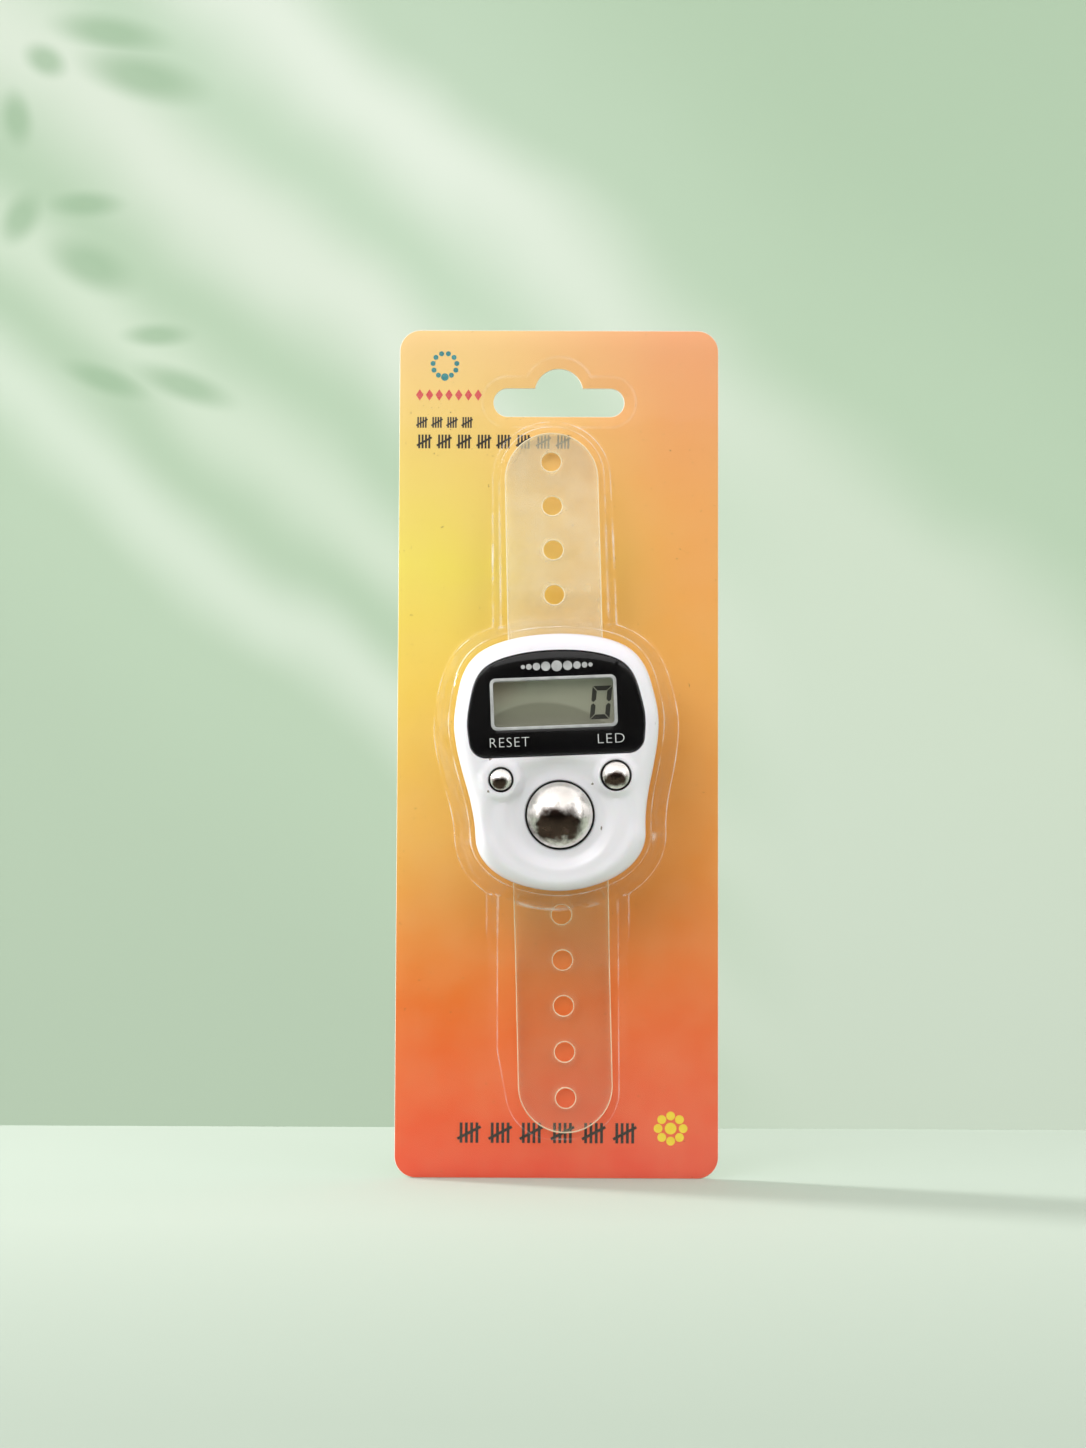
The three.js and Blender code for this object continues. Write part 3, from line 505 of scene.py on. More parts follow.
# A table, a wall behind it, and a dark cloth before and below it for the chrome to mirror.
def makeStage(values):
    floor, front, reach = values["floor"], values["front"], values["reach"]
    table = np.array([(front, floor), (values["tableBack"], floor)])
    stagePiece("table", table, reach, paper("table_paper", floorColor))
    wall = np.array([(values["wall"], -reach), (values["wall"], reach)])
    stagePiece("wall", wall, reach, paper("wall_paper", wallColor))
    foot, back = values["clothFoot"], values["clothBack"]
    cloth = np.array([(front, floor - 0.5), (front, foot), (back, foot), (back, values["clothTop"])])
    stagePiece("dark_cloth", cloth, values["clothReach"], paper("dark_cloth", clothColor))


# An upright rectangle of light at its place, which faces its target.
def areaLight(name, values):
    data = bpy.data.lights.new(name, "AREA")
    data.shape = "RECTANGLE"
    data.size, data.size_y = values["size"][0] * mm, values["size"][1] * mm
    data.energy = values["power"]
    data.spread = np.radians(values["spread"])
    made = bpy.data.objects.new(name, data)
    bpy.context.scene.collection.objects.link(made)
    ahead = unit(np.array(values["target"], float) - np.array(values["place"], float))
    across = unit(np.cross(ahead, [0, 0, 1]))
    matrix = np.eye(4)
    matrix[:3, :3] = np.stack([across, np.cross(across, ahead), -ahead], 1)
    matrix[:3, 3] = np.array(values["place"]) * mm
    made.matrix_world = Matrix(matrix.tolist())


# Soft light from above: its strength rises from the horizon upwards.
def makeWorld(low, high, color):
    made = bpy.data.worlds.new("studio")
    made.use_nodes = True
    tree = made.node_tree
    rise = add(tree, "SeparateXYZ", {"Vector": add(tree, "TexCoord").outputs["Generated"]}).outputs["Z"]
    sockets = {"Value": rise, "From Min": -0.15, "From Max": 0.5, "To Min": low, "To Max": high}
    strength = add(tree, "MapRange", sockets, interpolation_type="SMOOTHSTEP").outputs["Result"]
    background = tree.nodes["Background"]
    background.inputs["Color"].default_value = hexColor(color)
    tree.links.new(strength, background.inputs["Strength"])
    bpy.context.scene.world = made


# Watts and millimetres; spread is the light's full angle in degrees
lamps = {
    "key": {"place": (-300, -540, 330), "target": (0, 0, -60), "size": (300, 300), "power": 0.9,
            "spread": 180},
    "left_strip": {"place": (-460, -260, 60), "target": (0, 0, -60), "size": (26, 620), "power": 0.35,
                   "spread": 180},
    "right_strip": {"place": (460, -300, 60), "target": (0, 0, -60), "size": (26, 620), "power": 0.2,
                    "spread": 180},
    "side": {"place": (-915, 377, 270), "target": (60, -20, -133), "size": (180, 120), "power": 1.4,
             "spread": 60},
}
sky = {"low": 0.72, "high": 1.62, "color": "#f5f3f2"}

setCamera(camera)
makeStage(stage)
makeWorld(sky["low"], sky["high"], sky["color"])
for name, values in lamps.items():
    areaLight(name, values)
bpy.context.scene.view_settings.view_transform = "Standard"

print("Card")

card = {"width": 53, "height": 140, "corner": 3.5, "edge": 0.1}
slot = {"width": 21.7, "height": 4.7, "crown": 4.0, "rise": 3.3}


# A level slot with round ends under a crown, an arc that starts where it leaves the slot's top.
def slotLoop():
    radius = slot["height"] / 2
    top = -slot["rise"]
    reach = slot["width"] / 2
    lean = np.arcsin((slot["crown"] - slot["rise"]) / slot["crown"])
    turn = np.linspace(lean, np.pi - lean, 30)
    crown = np.stack([slot["crown"] * np.cos(turn), slot["crown"] * (np.sin(turn) - 1)], 1)
    right = arcCorners([(0, top - 2 * radius), (reach, top - 2 * radius), (reach, top), (5, top)],
                       [0, radius * 0.999, radius * 0.999, 0], closed=False)
    left = right[::-1] * [-1, 1]
    return spaced(np.concatenate([right[:-1], crown, left[1:-1]]), 0.5)


# Offset-printed board with a thin varnish: a soft satin sheen over colours that run into each other, pale cut
# edges, and specks of dust. The print runs down the card by two ramps, blended from its left to its right.
def cardMaterial():
    made, tree = newMaterial("printed_board")
    axes = add(tree, "SeparateXYZ", {"Vector": add(tree, "TexCoord").outputs["Object"]}).outputs
    drift = patches(tree, 40, 3, (-0.006, 0.006), 0, 1)
    down = add(tree, "Math", {0: axes["Z"], 1: drift}, operation="ADD").outputs[0]
    over = add(tree, "Math", {0: axes["X"], 1: drift}, operation="ADD").outputs[0]
    sockets = {"Value": down, "From Min": 0.0064, "From Max": -0.1335}
    downShare = add(tree, "MapRange", sockets).outputs["Result"]
    overShare = add(tree, "MapRange", {"Value": over, "From Min": -0.021, "From Max": 0.026},
                    interpolation_type="SMOOTHSTEP").outputs["Result"]
    left = add(tree, "ValToRGB", {"Fac": downShare}, [
        (0, "#fad08e"), (0.12, "#f8d67a"), (0.27, "#f7e266"), (0.42, "#f4cd5a"), (0.6, "#f3b65a"),
        (0.8, "#ec752c"), (1, "#ea4d34"),
    ]).outputs["Color"]
    right = add(tree, "ValToRGB", {"Fac": downShare}, [
        (0, "#f5a673"), (0.2, "#f5ab60"), (0.4, "#f4ad55"), (0.65, "#ec9243"), (0.81, "#e96f38"),
        (1, "#e95b45"),
    ]).outputs["Color"]
    blend = add(tree, "Mix", {0: overShare, 6: left, 7: right}, data_type="RGBA").outputs[2]
    cloudy = mottled(tree, blend, "#f8d9a0", 7.143, 5, (0, 0.07))
    printed = mottled(tree, cloudy, "#8a5c26", 0.4762, 1, (0, 0.55), 0.76, 0.79)  # coarser than dust, to show
    facing = add(tree, "SeparateXYZ", {"Vector": add(tree, "NewGeometry").outputs["Normal"]}).outputs["Y"]
    cut = add(tree, "MapRange", {"Value": facing, "From Min": -0.93, "From Max": -0.75}).outputs["Result"]
    addSurface(tree, {
        "Base Color": add(tree, "Mix", {0: cut, 6: printed, 7: "#f7efe2"}, data_type="RGBA").outputs[2],
        "Roughness": patches(tree, 7.143, 5, (0.42, 0.55)), "Normal": grainNormal(tree, 0.2, 2, 0.06, 0.1),
        "Specular IOR Level": 0.35,
    })
    return made


cardLoop = roundedBox(card["width"], card["height"], card["corner"], 0, cardMiddle, step=1.0)
slotHole = slotLoop()[::-1]
cardFill = hexGrid(-25, 25, -132, 5, 4)
cardFill = cardFill[(depthInside(cardFill, slotHole[::-1]) < -1)]
cardFront = level["cardFront"]
makePiece("card", plate([cardLoop, slotHole], -cardFront, cardFront, card["edge"], cardFill),
          cardPlace, "pack", cardMaterial(), ["backing_card"])


print("Print on the card")

# A thin plate of ink on the card, straight down from its outline.
def printPlate(loop, low=0.25, high=0.27):
    return [sheet([loop], high), sheet([loop], low), bands([atHeight(loop, high), atHeight(loop, low)])]


# A bar's four corners: its ends, half its width to either side.
def stroke(x0, y0, x1, y1, width):
    ahead = unit(np.array([x1 - x0, y1 - y0], float))
    side = np.array([-ahead[1], ahead[0]]) * width / 2
    a, b = np.array([x0, y0]), np.array([x1, y1])
    return np.array([a - side, b - side, b + side, a + side])


# Bundles of four strokes crossed by a fifth.
def tallies(left, middle, height, groups, pitch, width):
    chunks = []
    gap = pitch * 0.17
    half = height / 2
    for x in left + pitch * np.arange(groups):
        for across in x + gap * np.arange(4):
            chunks += printPlate(stroke(across, middle - half, across, middle + half, width))
        cross = stroke(x - gap * 0.7, middle - height * 0.3, x + gap * 3.7, middle + height * 0.3, width)
        chunks += printPlate(cross, 0.27, 0.285)
    return chunks


# Beads evenly round a circle, the lowest one half as large again.
def ringOfBeads(x, y, radius, bead, count):
    chunks = []
    for turn in np.linspace(0, 2 * np.pi, count, endpoint=False):
        big = bead * (1.5 if turn == 0 else 1)
        at = (x + radius * np.sin(turn), y - radius * np.cos(turn))
        chunks += printPlate(circle(*at, big, 24))
    return chunks


# Squares on their corners in a row, stretched to the given half width and half height.
def diamonds(x, y, count, pitch, wide, tall):
    chunks = []
    for k in range(count):
        at = x + (k - (count - 1) / 2) * pitch
        chunks += printPlate(np.array([(at + wide, y), (at, y + tall), (at - wide, y), (at, y - tall)]))
    return chunks


# Round petals in a ring about an eye, clear of one another.
def flower(x, y, petals, reach, petal, eye):
    chunks = printPlate(circle(x, y, eye, 28))
    for turn in np.linspace(0, 2 * np.pi, petals, endpoint=False):
        at = (x + reach * np.sin(turn), y + reach * np.cos(turn))
        chunks += printPlate(circle(*at, petal, 28))
    return chunks


# Offset inks: flat colour with a faint gloss
darkInk = plainFinish("dark_ink", "#2b2521", "#3a332e", 1.111, (0.35, 0.5))
tealInk = plainFinish("teal_ink", "#2f7f86", "#3f959a", 1.111, (0.35, 0.5))
redInk = plainFinish("red_ink", "#d8464a", "#e0605c", 1.111, (0.35, 0.5))
yellowInk = plainFinish("yellow_ink", "#f3da45", "#efcf38", 1.111, (0.35, 0.5))
prints = {
    "bead_ring_print": (ringOfBeads, tealInk, {
        "x": -19.0, "y": 0.6, "radius": 2.0, "bead": 0.42, "count": 11}),
    "diamond_row_print": (diamonds, redInk, {
        "x": -18.3, "y": -4.4, "count": 7, "pitch": 1.62, "wide": 0.62, "tall": 0.95}),
    "short_tally_print": (tallies, darkInk, {
        "left": -23.4, "middle": -9.0, "height": 1.8, "groups": 4, "pitch": 2.5, "width": 0.26}),
    "long_tally_print": (tallies, darkInk, {
        "left": -23.2, "middle": -12.2, "height": 2.3, "groups": 8, "pitch": 3.3, "width": 0.32}),
    "foot_tally_print": (tallies, darkInk, {
        "left": -15.6, "middle": -126.2, "height": 3.3, "groups": 6, "pitch": 5.1, "width": 0.46}),
    "flower_print": (flower, yellowInk, {
        "x": 18.7, "y": -125.4, "petals": 8, "reach": 2.05, "petal": 0.72, "eye": 0.95}),
}
for name, (shape, finish, values) in prints.items():
    makePiece(name, shape(**values), cardPlace, "pack", finish)

print("Front shell")

body = {"width": 32.7, "height": 41.1, "below": 2.35, "inset": 0.35, "roll": 4.2, "rollStart": 0.45,
        "drop": 3.5, "wall": 1.4}
bodyHalf = [
    (0, 1), (0.393, 0.972), (0.72, 0.877), (0.888, 0.72), (0.967, 0.507), (1, 0.289), (0.943, -0.024),
    (0.87, -0.27), (0.832, -0.5), (0.825, -0.62), (0.765, -0.739), (0.61, -0.863), (0.36, -0.955), (0, -1),
]
halfSize = np.array([body["width"], body["height"]]) / 2
rightHalf = np.array(bodyHalf) * halfSize
bodyCorners = np.concatenate([rightHalf[::-1], (rightHalf * [-1, 1])[1:-1]])
bodyLoop = smoothLoop(bodyCorners, 260)

lens = {"inset": 2.3, "bottom": 0.95, "corner": 2.6, "squash": 0.956, "edge": 0.22, "gap": 0.12}
window = {"width": 19.1, "height": 7.3, "x": -0.3, "y": 9.35, "corner": 0.6}
count = {"y": -8.5, "cap": 10.4, "dome": 2.55}
keys = {"x": 9.1, "y": -2.6, "pad": 3.3, "padIn": 0.75, "padOut": 0.45, "rise": 0.25, "stand": 0.35,
        "hold": 0.9}
reset = {"cap": 3.35, "dome": 0.75}
led = {"cap": 4.3, "dome": 0.95}
buttonGap = 0.3
holeEdge = 0.22
dish = {"y": -9.1, "across": 12.6, "up": 10.4, "band": 0.17, "depth": 0.7, "inner": 9.2, "foot": 6.7,
        "innerDepth": 0.9}


# The panel's outline: the body's, moved in and lowered a little, with a level foot and round lower corners.
def lensLoop(gap):
    start = lens["bottom"] + lens["corner"]
    around = grown(bodyLoop, -lens["inset"])
    around = around[around[:, 1] > start]
    around[:, 1] = start + (around[:, 1] - start) * lens["squash"]
    right = around[around[:, 0] > 0]
    right = right[np.argsort(right[:, 1])]
    left = around[around[:, 0] <= 0]
    left = left[np.argsort(-left[:, 1])]
    half = right[0, 0] - lens["corner"]
    turn = np.linspace(0, np.pi / 2, 16)
    low = np.stack([-half - lens["corner"] * np.cos(turn), start - lens["corner"] * np.sin(turn)], 1)
    loop = np.concatenate([right[1:], left[:-1], low, low[::-1] * [-1, 1]])
    return grown(spaced(loop, 0.5), gap)


# The window's outline, wider and taller by the given amounts.
def windowLoop(wider=0.0, taller=0.0, corner=window["corner"]):
    return roundedBox(window["width"] + wider, window["height"] + taller, corner, window["x"], window["y"])


# Rolled rim, less a shallow oval bowl and a round dish in it, plus a low pad round each small key.
def faceHeight(points):
    inset = np.clip(depthInside(points, bodyLoop), 0, body["roll"])
    lean = 1 - inset / body["roll"]
    z = level["face"] - body["drop"] * (1 - np.sqrt(1 - lean**2))
    x, y = points[:, 0], points[:, 1]
    oval = np.hypot(x / dish["across"], (y - dish["y"]) / dish["up"])
    z = z - dish["depth"] * (1 - smooth(1 - dish["band"], 1, oval))
    z = z - dish["innerDepth"] * (1 - smooth(dish["foot"], dish["inner"], np.hypot(x, y - count["y"])))
    padFoot, padEnd = keys["pad"] - keys["padIn"], keys["pad"] + keys["padOut"]
    for side in (-1, 1):
        reach = np.hypot(x - side * keys["x"], y - keys["y"])
        z = z + (level["face"] + keys["rise"] - z) * (1 - smooth(padFoot, padEnd, reach))
    return z


# Injection-moulded glossy ABS: white with sharp soft-edged highlights, a faint orange peel and a few specks.
def whiteMaterial():
    made, tree = newMaterial("glossy_white_abs")
    white = mottled(tree, "#e9e6ec", "#f0edf3", 16.667, 3)
    addSurface(tree, {
        "Base Color": mottled(tree, white, "#8a7f78", 1.4286, 2, (0, 1), 0.74, 0.77),
        "Roughness": patches(tree, 16.667, 3, (0.16, 0.24)),
        "Normal": grainNormal(tree, 0.6667, 2, 0.04, 0.1), "Specular IOR Level": 0.55,
        "Subsurface Weight": 0.08, "Subsurface Scale": 0.001,
    })
    return made


# The rounded edge of a round hole and its wall down to the roof.
def holeRings(x, y, radius, steps=64):
    rings = []
    top = faceHeight(circle(x, y, radius + holeEdge, steps))
    for t in np.linspace(0, np.pi / 2, 4):
        loop = circle(x, y, radius + holeEdge * (1 - np.sin(t)), steps)
        rings.append(atHeight(loop, top - holeEdge * (1 - np.cos(t))))
    rings.append(atHeight(circle(x, y, radius, steps), level["roof"]))
    return rings


holes = [
    (0, count["y"], count["cap"] / 2 + buttonGap, 96),
    (-keys["x"], keys["y"], reset["cap"] / 2 + buttonGap, 56),
    (keys["x"], keys["y"], led["cap"] / 2 + buttonGap, 56),
]


# Outside: wall, rolled rim, face, panel recess, window and holes. Inside: a flat roof and a straight wall.
def frontShell():
    wallRings = []
    seam = level["seam"]
    side = level["face"] - body["drop"]
    for share in np.linspace(0, 1, 5):
        z = seam + (side - seam) * share
        wallRings.append(atHeight(grown(bodyLoop, -body["inset"] * (1 - min(1, 2 * share))), z))
    end = np.arccos(1 - body["rollStart"] / body["roll"])
    for t in np.linspace(0, end, 7)[1:]:
        inset = body["roll"] * (1 - np.cos(t))
        wallRings.append(atHeight(grown(bodyLoop, -inset), side + body["drop"] * np.sin(t)))
    rim = grown(bodyLoop, -body["rollStart"])
    wallRings[-1] = atHeight(rim, faceHeight(rim))
    recess = lensLoop(lens["gap"])
    holeEdges = [holeRings(*h) for h in holes]
    edgeLoops = [rings[0][:, :2] for rings in holeEdges]
    floorLoops = [rings[-1][:, :2] for rings in holeEdges]
    inner = [grown(bodyLoop, -d) for d in (0.65, 0.9, 1.25, 1.65, 2.05)]
    field = hexGrid(-16, 16, -20.5, 20.5, 0.5)
    clear = (depthInside(field, bodyLoop) > 2.3) & (depthInside(field, recess) < -0.25)
    for loop in edgeLoops:
        clear &= depthInside(field, loop) < -0.2
    field = field[clear]
    rounds = [circle(h[0], h[1], h[2] + 0.5, h[3]) for h in holes]
    top = sheet([rim, recess, *edgeLoops], faceHeight, inner=[*inner, *rounds], extra=field)
    view = windowLoop()
    floor = level["recessFloor"]
    roof = level["roof"]
    inside = grown(bodyLoop, -body["wall"])
    chunks = [
        bands(wallRings), top,
        bands([atHeight(recess, faceHeight(recess)), atHeight(recess, floor)]),
        sheet([recess, view], floor),
        bands([atHeight(view, floor), atHeight(view, roof)]),
        sheet([inside, view, *floorLoops], roof),
        bands([atHeight(inside, roof), atHeight(inside, seam), wallRings[0]]),
    ]
    return chunks + [bands(rings) for rings in holeEdges]


whiteAbs = whiteMaterial()
makePiece("front_cover", frontShell(), counterPlace, "pack", whiteAbs, ["front_shell"])

print("Panel and display")


# Acrylic printed black on its back: deep black under a smooth gloss, with sparse dust on it.
def panelMaterial():
    made, tree = newMaterial("black_back_printed_acrylic")
    black = mottled(tree, "#0a0a0c", "#111113", 8.333, 4)
    addSurface(tree, {
        "Base Color": mottled(tree, black, "#6c6d6f", 1.25, 2, (0, 0.5), 0.76, 0.8),
        "Roughness": patches(tree, 8.333, 4, (0.06, 0.12)), "Specular IOR Level": 0.5,
    })
    return made


# The share a thin sheet mirrors, up to a limit. Its back face counts like its front, as nothing bends in it.
def sheetFresnel(tree, index, limit, normal):
    behind = add(tree, "NewGeometry").outputs["Backfacing"]
    sockets = {"Value": behind, "To Min": index, "To Max": 1 / index}
    index = add(tree, "MapRange", sockets).outputs["Result"]
    share = add(tree, "Fresnel", {"IOR": index, "Normal": normal}).outputs["Fac"]
    return add(tree, "Math", {0: share, 1: limit}, operation="MINIMUM").outputs[0]


# Clear sheet: what is behind shows through its tint, and Fresnel lays the gloss over it, waved by noise of
# the given size. Where an attribute asks for it, some white is mixed in as painted highlight, broken up by
# finer noise.
def clearMaterial(name, tint, gloss, wave, strength, paleShare=None):
    made, tree = newMaterial(name)
    normal = grainNormal(tree, wave, 3, strength, 0.4)
    fresnel = sheetFresnel(tree, 1.22, 0.14, normal)
    clear = add(tree, "BsdfTransparent", {"Color": tint}).outputs["BSDF"]
    if paleShare:
        white = add(tree, "BsdfDiffuse", {"Color": "#ffffff"}).outputs["BSDF"]
        share = add(tree, "Attribute", attribute_name=paleShare).outputs["Fac"]
        factors = {0: share, 1: patches(tree, 3.846, 3, (-0.1, 1.2))}
        pale = add(tree, "Math", factors, operation="MULTIPLY", use_clamp=True).outputs[0]
        clear = add(tree, "MixShader", {0: pale, 1: clear, 2: white}).outputs["Shader"]
    sockets = {"Roughness": gloss, "Normal": normal}
    shine = add(tree, "BsdfGlossy", sockets, distribution="GGX").outputs["BSDF"]
    surface = add(tree, "MixShader", {0: fresnel, 1: clear, 2: shine}).outputs["Shader"]
    add(tree, "OutputMaterial", {"Surface": surface})
    return made


panel = lensLoop(0)
view = windowLoop()
front = level["lensFront"]
makePiece("panel", plate([panel, view[::-1]], level["lensBack"], front, lens["edge"]), counterPlace, "pack",
          panelMaterial(), ["display_lens"])
pane = windowLoop(-0.04, -0.04)
makePiece("panel_window", plate([pane], level["lensBack"], front - 0.02, 0.05), counterPlace, "pack",
          clearMaterial("clear_acrylic", "#fcfcfa", 0.03, 3.333, 0.02))
border = windowLoop(1.0, 0.95, 0.95)
# Silver ink, which gleams dully like metal
silver = plainFinish("silver_ink", "#b9babb", "#d2d3d3", 1.4286, (0.3, 0.45), metallic=0.4)
makePiece("window_border", plate([border, view[::-1]], front - 0.01, front + 0.04, 0.02), counterPlace,
          "pack", silver)

beads = {"left": -5.3, "y": 15.15, "gap": 0.14, "radii": [0.34, 0.46, 0.6, 0.74, 0.86, 0.74, 0.6, 0.46, 0.34]}


# Round beads side by side from the left, a gap apart.
def beadRow():
    chunks = []
    x = beads["left"]
    for radius in beads["radii"]:
        x += radius
        chunks += printPlate(circle(x, beads["y"], radius, 32), front - 0.01, front + 0.02)
        x += radius + beads["gap"]
    return chunks


makePiece("bead_row_print", beadRow(), counterPlace, "pack", silver)

lettering = {"spacing": 1.12, "thick": 0.015, "thinner": 0.045, "raise": 0.005}
legends = {
    "reset_legend": {"text": "RESET", "x": -7.6, "y": 3.2, "tall": 1.62, "stretch": 1.0},
    "led_legend": {"text": "LED", "x": 8.55, "y": 3.25, "tall": 1.62, "stretch": 1.1},
}


# A word in Blender's own plain letters, made a mesh and laid on the panel.
def legend(name, values):
    curve = bpy.data.curves.new(name, "FONT")
    curve.body = values["text"]
    curve.align_x = "CENTER"
    curve.align_y = "CENTER"
    curve.size = values["tall"] * 1.39  # a capital's height is 1 / 1.39 of the size
    curve.space_character = lettering["spacing"]
    curve.extrude = lettering["thick"]
    curve.offset = -lettering["thinner"]
    curve.resolution_u = 4
    drawn = bpy.data.objects.new(name + "_curve", curve)
    bpy.context.scene.collection.objects.link(drawn)
    bpy.context.view_layer.update()
    mesh = bpy.data.meshes.new_from_object(drawn.evaluated_get(bpy.context.evaluated_depsgraph_get()))
    bpy.data.objects.remove(drawn)
    points = np.zeros(len(mesh.vertices) * 3)
    mesh.vertices.foreach_get("co", points)
    shift = [values["x"], values["y"], front + lettering["raise"]]
    points = points.reshape(-1, 3) * [values["stretch"], 1, 1] + shift
    mesh.vertices.foreach_set("co", placed(points, counterPlace).ravel())
    mesh.update()
    mesh.materials.clear()
    mesh.materials.append(whiteInk)
    made = bpy.data.objects.new(name, mesh)
    bpy.context.scene.collection.objects.link(made)
    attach(made, "pack")


whiteInk = plainFinish("white_ink", "#dfe0e0", "#cfd0d0", 1.111, (0.35, 0.5))  # screen-printed, flat white
for name, values in legends.items():
    legend(name, values)


# Polarizing film over glass: an even green grey with a faint sheen, warmer in its upper left corner, and
# darker within a wide faint arc, a painted reflection. Both tones fade over a distance from a point on the
# drawing.
def displayMaterial():
    made, tree = newMaterial("grey_polarizer")
    color = mottled(tree, "#a6a798", "#b0b1a2", 11.111, 3)
    place = add(tree, "TexCoord").outputs["Object"]
    flatten = add(tree, "VectorMath", {0: place, 1: (1, 0, 1)}, operation="MULTIPLY").outputs[0]
    # The second tone, darker within the arc, is painted reflection.
    for middle, near, far, tone in (
        ((-0.0106, 0, -0.0515), 0.001, 0.0065, "#94826f"), ((-0.0022, 0, -0.0725), 0.0158, 0.0163, "#8a8b7c"),
    ):
        reach = add(tree, "VectorMath", {0: flatten, 1: middle}, operation="DISTANCE").outputs["Value"]
        sockets = {"Value": reach, "From Min": far, "From Max": near, "To Max": 0.8}
        share = add(tree, "MapRange", sockets).outputs["Result"]
        color = add(tree, "Mix", {0: share, 6: color, 7: tone}, data_type="RGBA").outputs[2]
    addSurface(tree, {
        "Base Color": color, "Roughness": patches(tree, 11.111, 3, (0.25, 0.35)), "Specular IOR Level": 0.4,
    })
    return made


digit = {"x": 7.25, "y": 9.2, "wide": 3.15, "tall": 5.3, "bar": 0.74, "gap": 0.1, "lean": 0.13}


# The six outer bars of a seven-bar zero: a level bar and an upright one with pointed ends, mirrored to their
# places, and each point moved across by its height times the lean.
def digitZero():
    w, h, t, g = digit["wide"] / 2, digit["tall"] / 2, digit["bar"], digit["gap"]
    flat = np.array([(-w + g, h), (w - g, h), (w - t - g, h - t), (-w + t + g, h - t)])
    upright = np.array([(w, h - g), (w, t / 2), (w - t / 2, g), (w - t, t / 2 + g), (w - t, h - t - g)])
    bars = [flat * (1, up) for up in (1, -1)]
    bars += [upright * (side, up) for side, up in ((-1, 1), (1, 1), (-1, -1), (1, -1))]
    chunks = []
    top = level["polarizerFront"]
    for loop in bars:
        area = (loop[:, 0] * np.roll(loop[:, 1], -1) - loop[:, 1] * np.roll(loop[:, 0], -1)).sum()
        loop = loop if area > 0 else loop[::-1]
        loop = np.stack([loop[:, 0] + loop[:, 1] * digit["lean"] + digit["x"], loop[:, 1] + digit["y"]], 1)
        chunks += printPlate(loop, top - 0.02, top + 0.02)
    return chunks


makePiece("digit_zero", digitZero(), counterPlace, "pack",
          plainFinish("lcd_dark", "#353532", "#3d3d39", 1.25, (0.3, 0.4)))
displayGrey = displayMaterial()

print("Buttons")


# Bright chrome plate over plastic: a mirror gone slightly dull, pale above, and brown within an uneven oval,
# a painted reflection of the dark room in front of it. The dome's own places run from -1 to 1.
def chromeMaterial():
    made, tree = newMaterial("bright_chrome_plate")
    dome = add(tree, "Attribute", attribute_name="domePlace").outputs["Vector"]
    shift = add(tree, "VectorMath", {0: dome, 1: (0.12, 0.3, 0)}, operation="ADD").outputs[0]
    oval = add(tree, "VectorMath", {0: shift, 1: (1 / 0.78, 1 / 0.54, 0)}, operation="MULTIPLY").outputs[0]
    reach = add(tree, "VectorMath", {0: oval}, operation="LENGTH").outputs["Value"]
    uneven = patches(tree, 1.7857, 5, (-0.75, 0.75), 0, 1)
    edge = add(tree, "Math", {0: reach, 1: uneven}, operation="ADD").outputs[0]
    # The brown within the oval is painted reflection, laid into the plate's colour.
    dark = add(tree, "MapRange", {"Value": edge, "From Min": 1.25, "From Max": 0.75}).outputs["Result"]
    pale, paintedReflection = mottled(tree, "#dcd7d1", "#efece8", 2.857, 5), mottled(tree, "#2e221d", "#54443c", 2.857, 5)
    color = add(tree, "Mix", {0: dark, 6: pale, 7: paintedReflection}, data_type="RGBA").outputs[2]
    addSurface(tree, {
        "Base Color": mottled(tree, color, "#4d443c", 0.7143, 2, (0, 1), 0.72, 0.76), "Metallic": 1.0,
        "Roughness": patches(tree, 2.857, 5, (0.2, 0.3)),
    })
    return made


# From the top of the dome over a small rounded rim to the skirt.
def domeProfile(radius, height, base, edge=0.18):
    sphere = (radius**2 + height**2) / (2 * height)
    lean = np.linspace(0, np.arcsin(min(1, radius / sphere)), 26)
    arc = np.stack([sphere * np.sin(lean), base + height - sphere * (1 - np.cos(lean))], 1)
    keep = arc[:, 0] < radius - edge * 0.8
    bend = [arc[keep][-1], (radius, base), (radius, base - 1)]
    corner = arcCorners(bend, [0, edge, 0], closed=False, step=0.05)
    return np.concatenate([arc[keep], corner[1:-1]])


chrome = chromeMaterial()
gapShadePlastic = plainFinish("black_gap_shade_plastic", "#0c0c0d", "#151516", 1.111, (0.5, 0.7))  # moulded, dull black; in the gap round each dome its black is painted shade


# A chromed dome on a black skirt, whose flange keeps it in the shell. The skirt's black in the gap round the
# dome is painted shade.
def button(name, x, y, cap, dome, base, bodyName, node):
    radius = cap / 2
    low, high = level["flangeBack"], level["flangeFront"]

    def spot(points):  # across and up from the dome's middle, over its radius
        return np.column_stack([(points[:, :2] - [x, y]) / radius, np.zeros(len(points))])

    skirt = base - 0.22
    top = np.concatenate([domeProfile(radius, dome, base), [(radius, skirt - 0.2), (0, skirt - 0.2)]])
    makePiece(name, marked([lathe(top, x, y)], spot), counterPlace, bodyName, chrome, [node],
              mark="domePlace")
    # The skirt's black collar in the gap round the dome is painted shade.
    wide = radius + 0.13
    rim = [(0, skirt), (wide, skirt), (wide, high), (radius + keys["hold"], high),
           (radius + keys["hold"], low), (0, low)]
    makePiece(name + "_skirt", [lathe(rim, x, y)], counterPlace, bodyName, gapShadePlastic)


countBase = 15.7325  # the dome's top then lies 0.4 mm behind the film
keyBase = level["face"] + keys["rise"] + keys["stand"]
button("count_dome", 0, count["y"], count["cap"], count["dome"], countBase, "count_key", "count_button")
button("reset_dome", -keys["x"], keys["y"], reset["cap"], reset["dome"], keyBase, "reset_key", "reset_button")
button("led_dome", keys["x"], keys["y"], led["cap"], led["dome"], keyBase, "led_key", "led_button")

print("Strap")

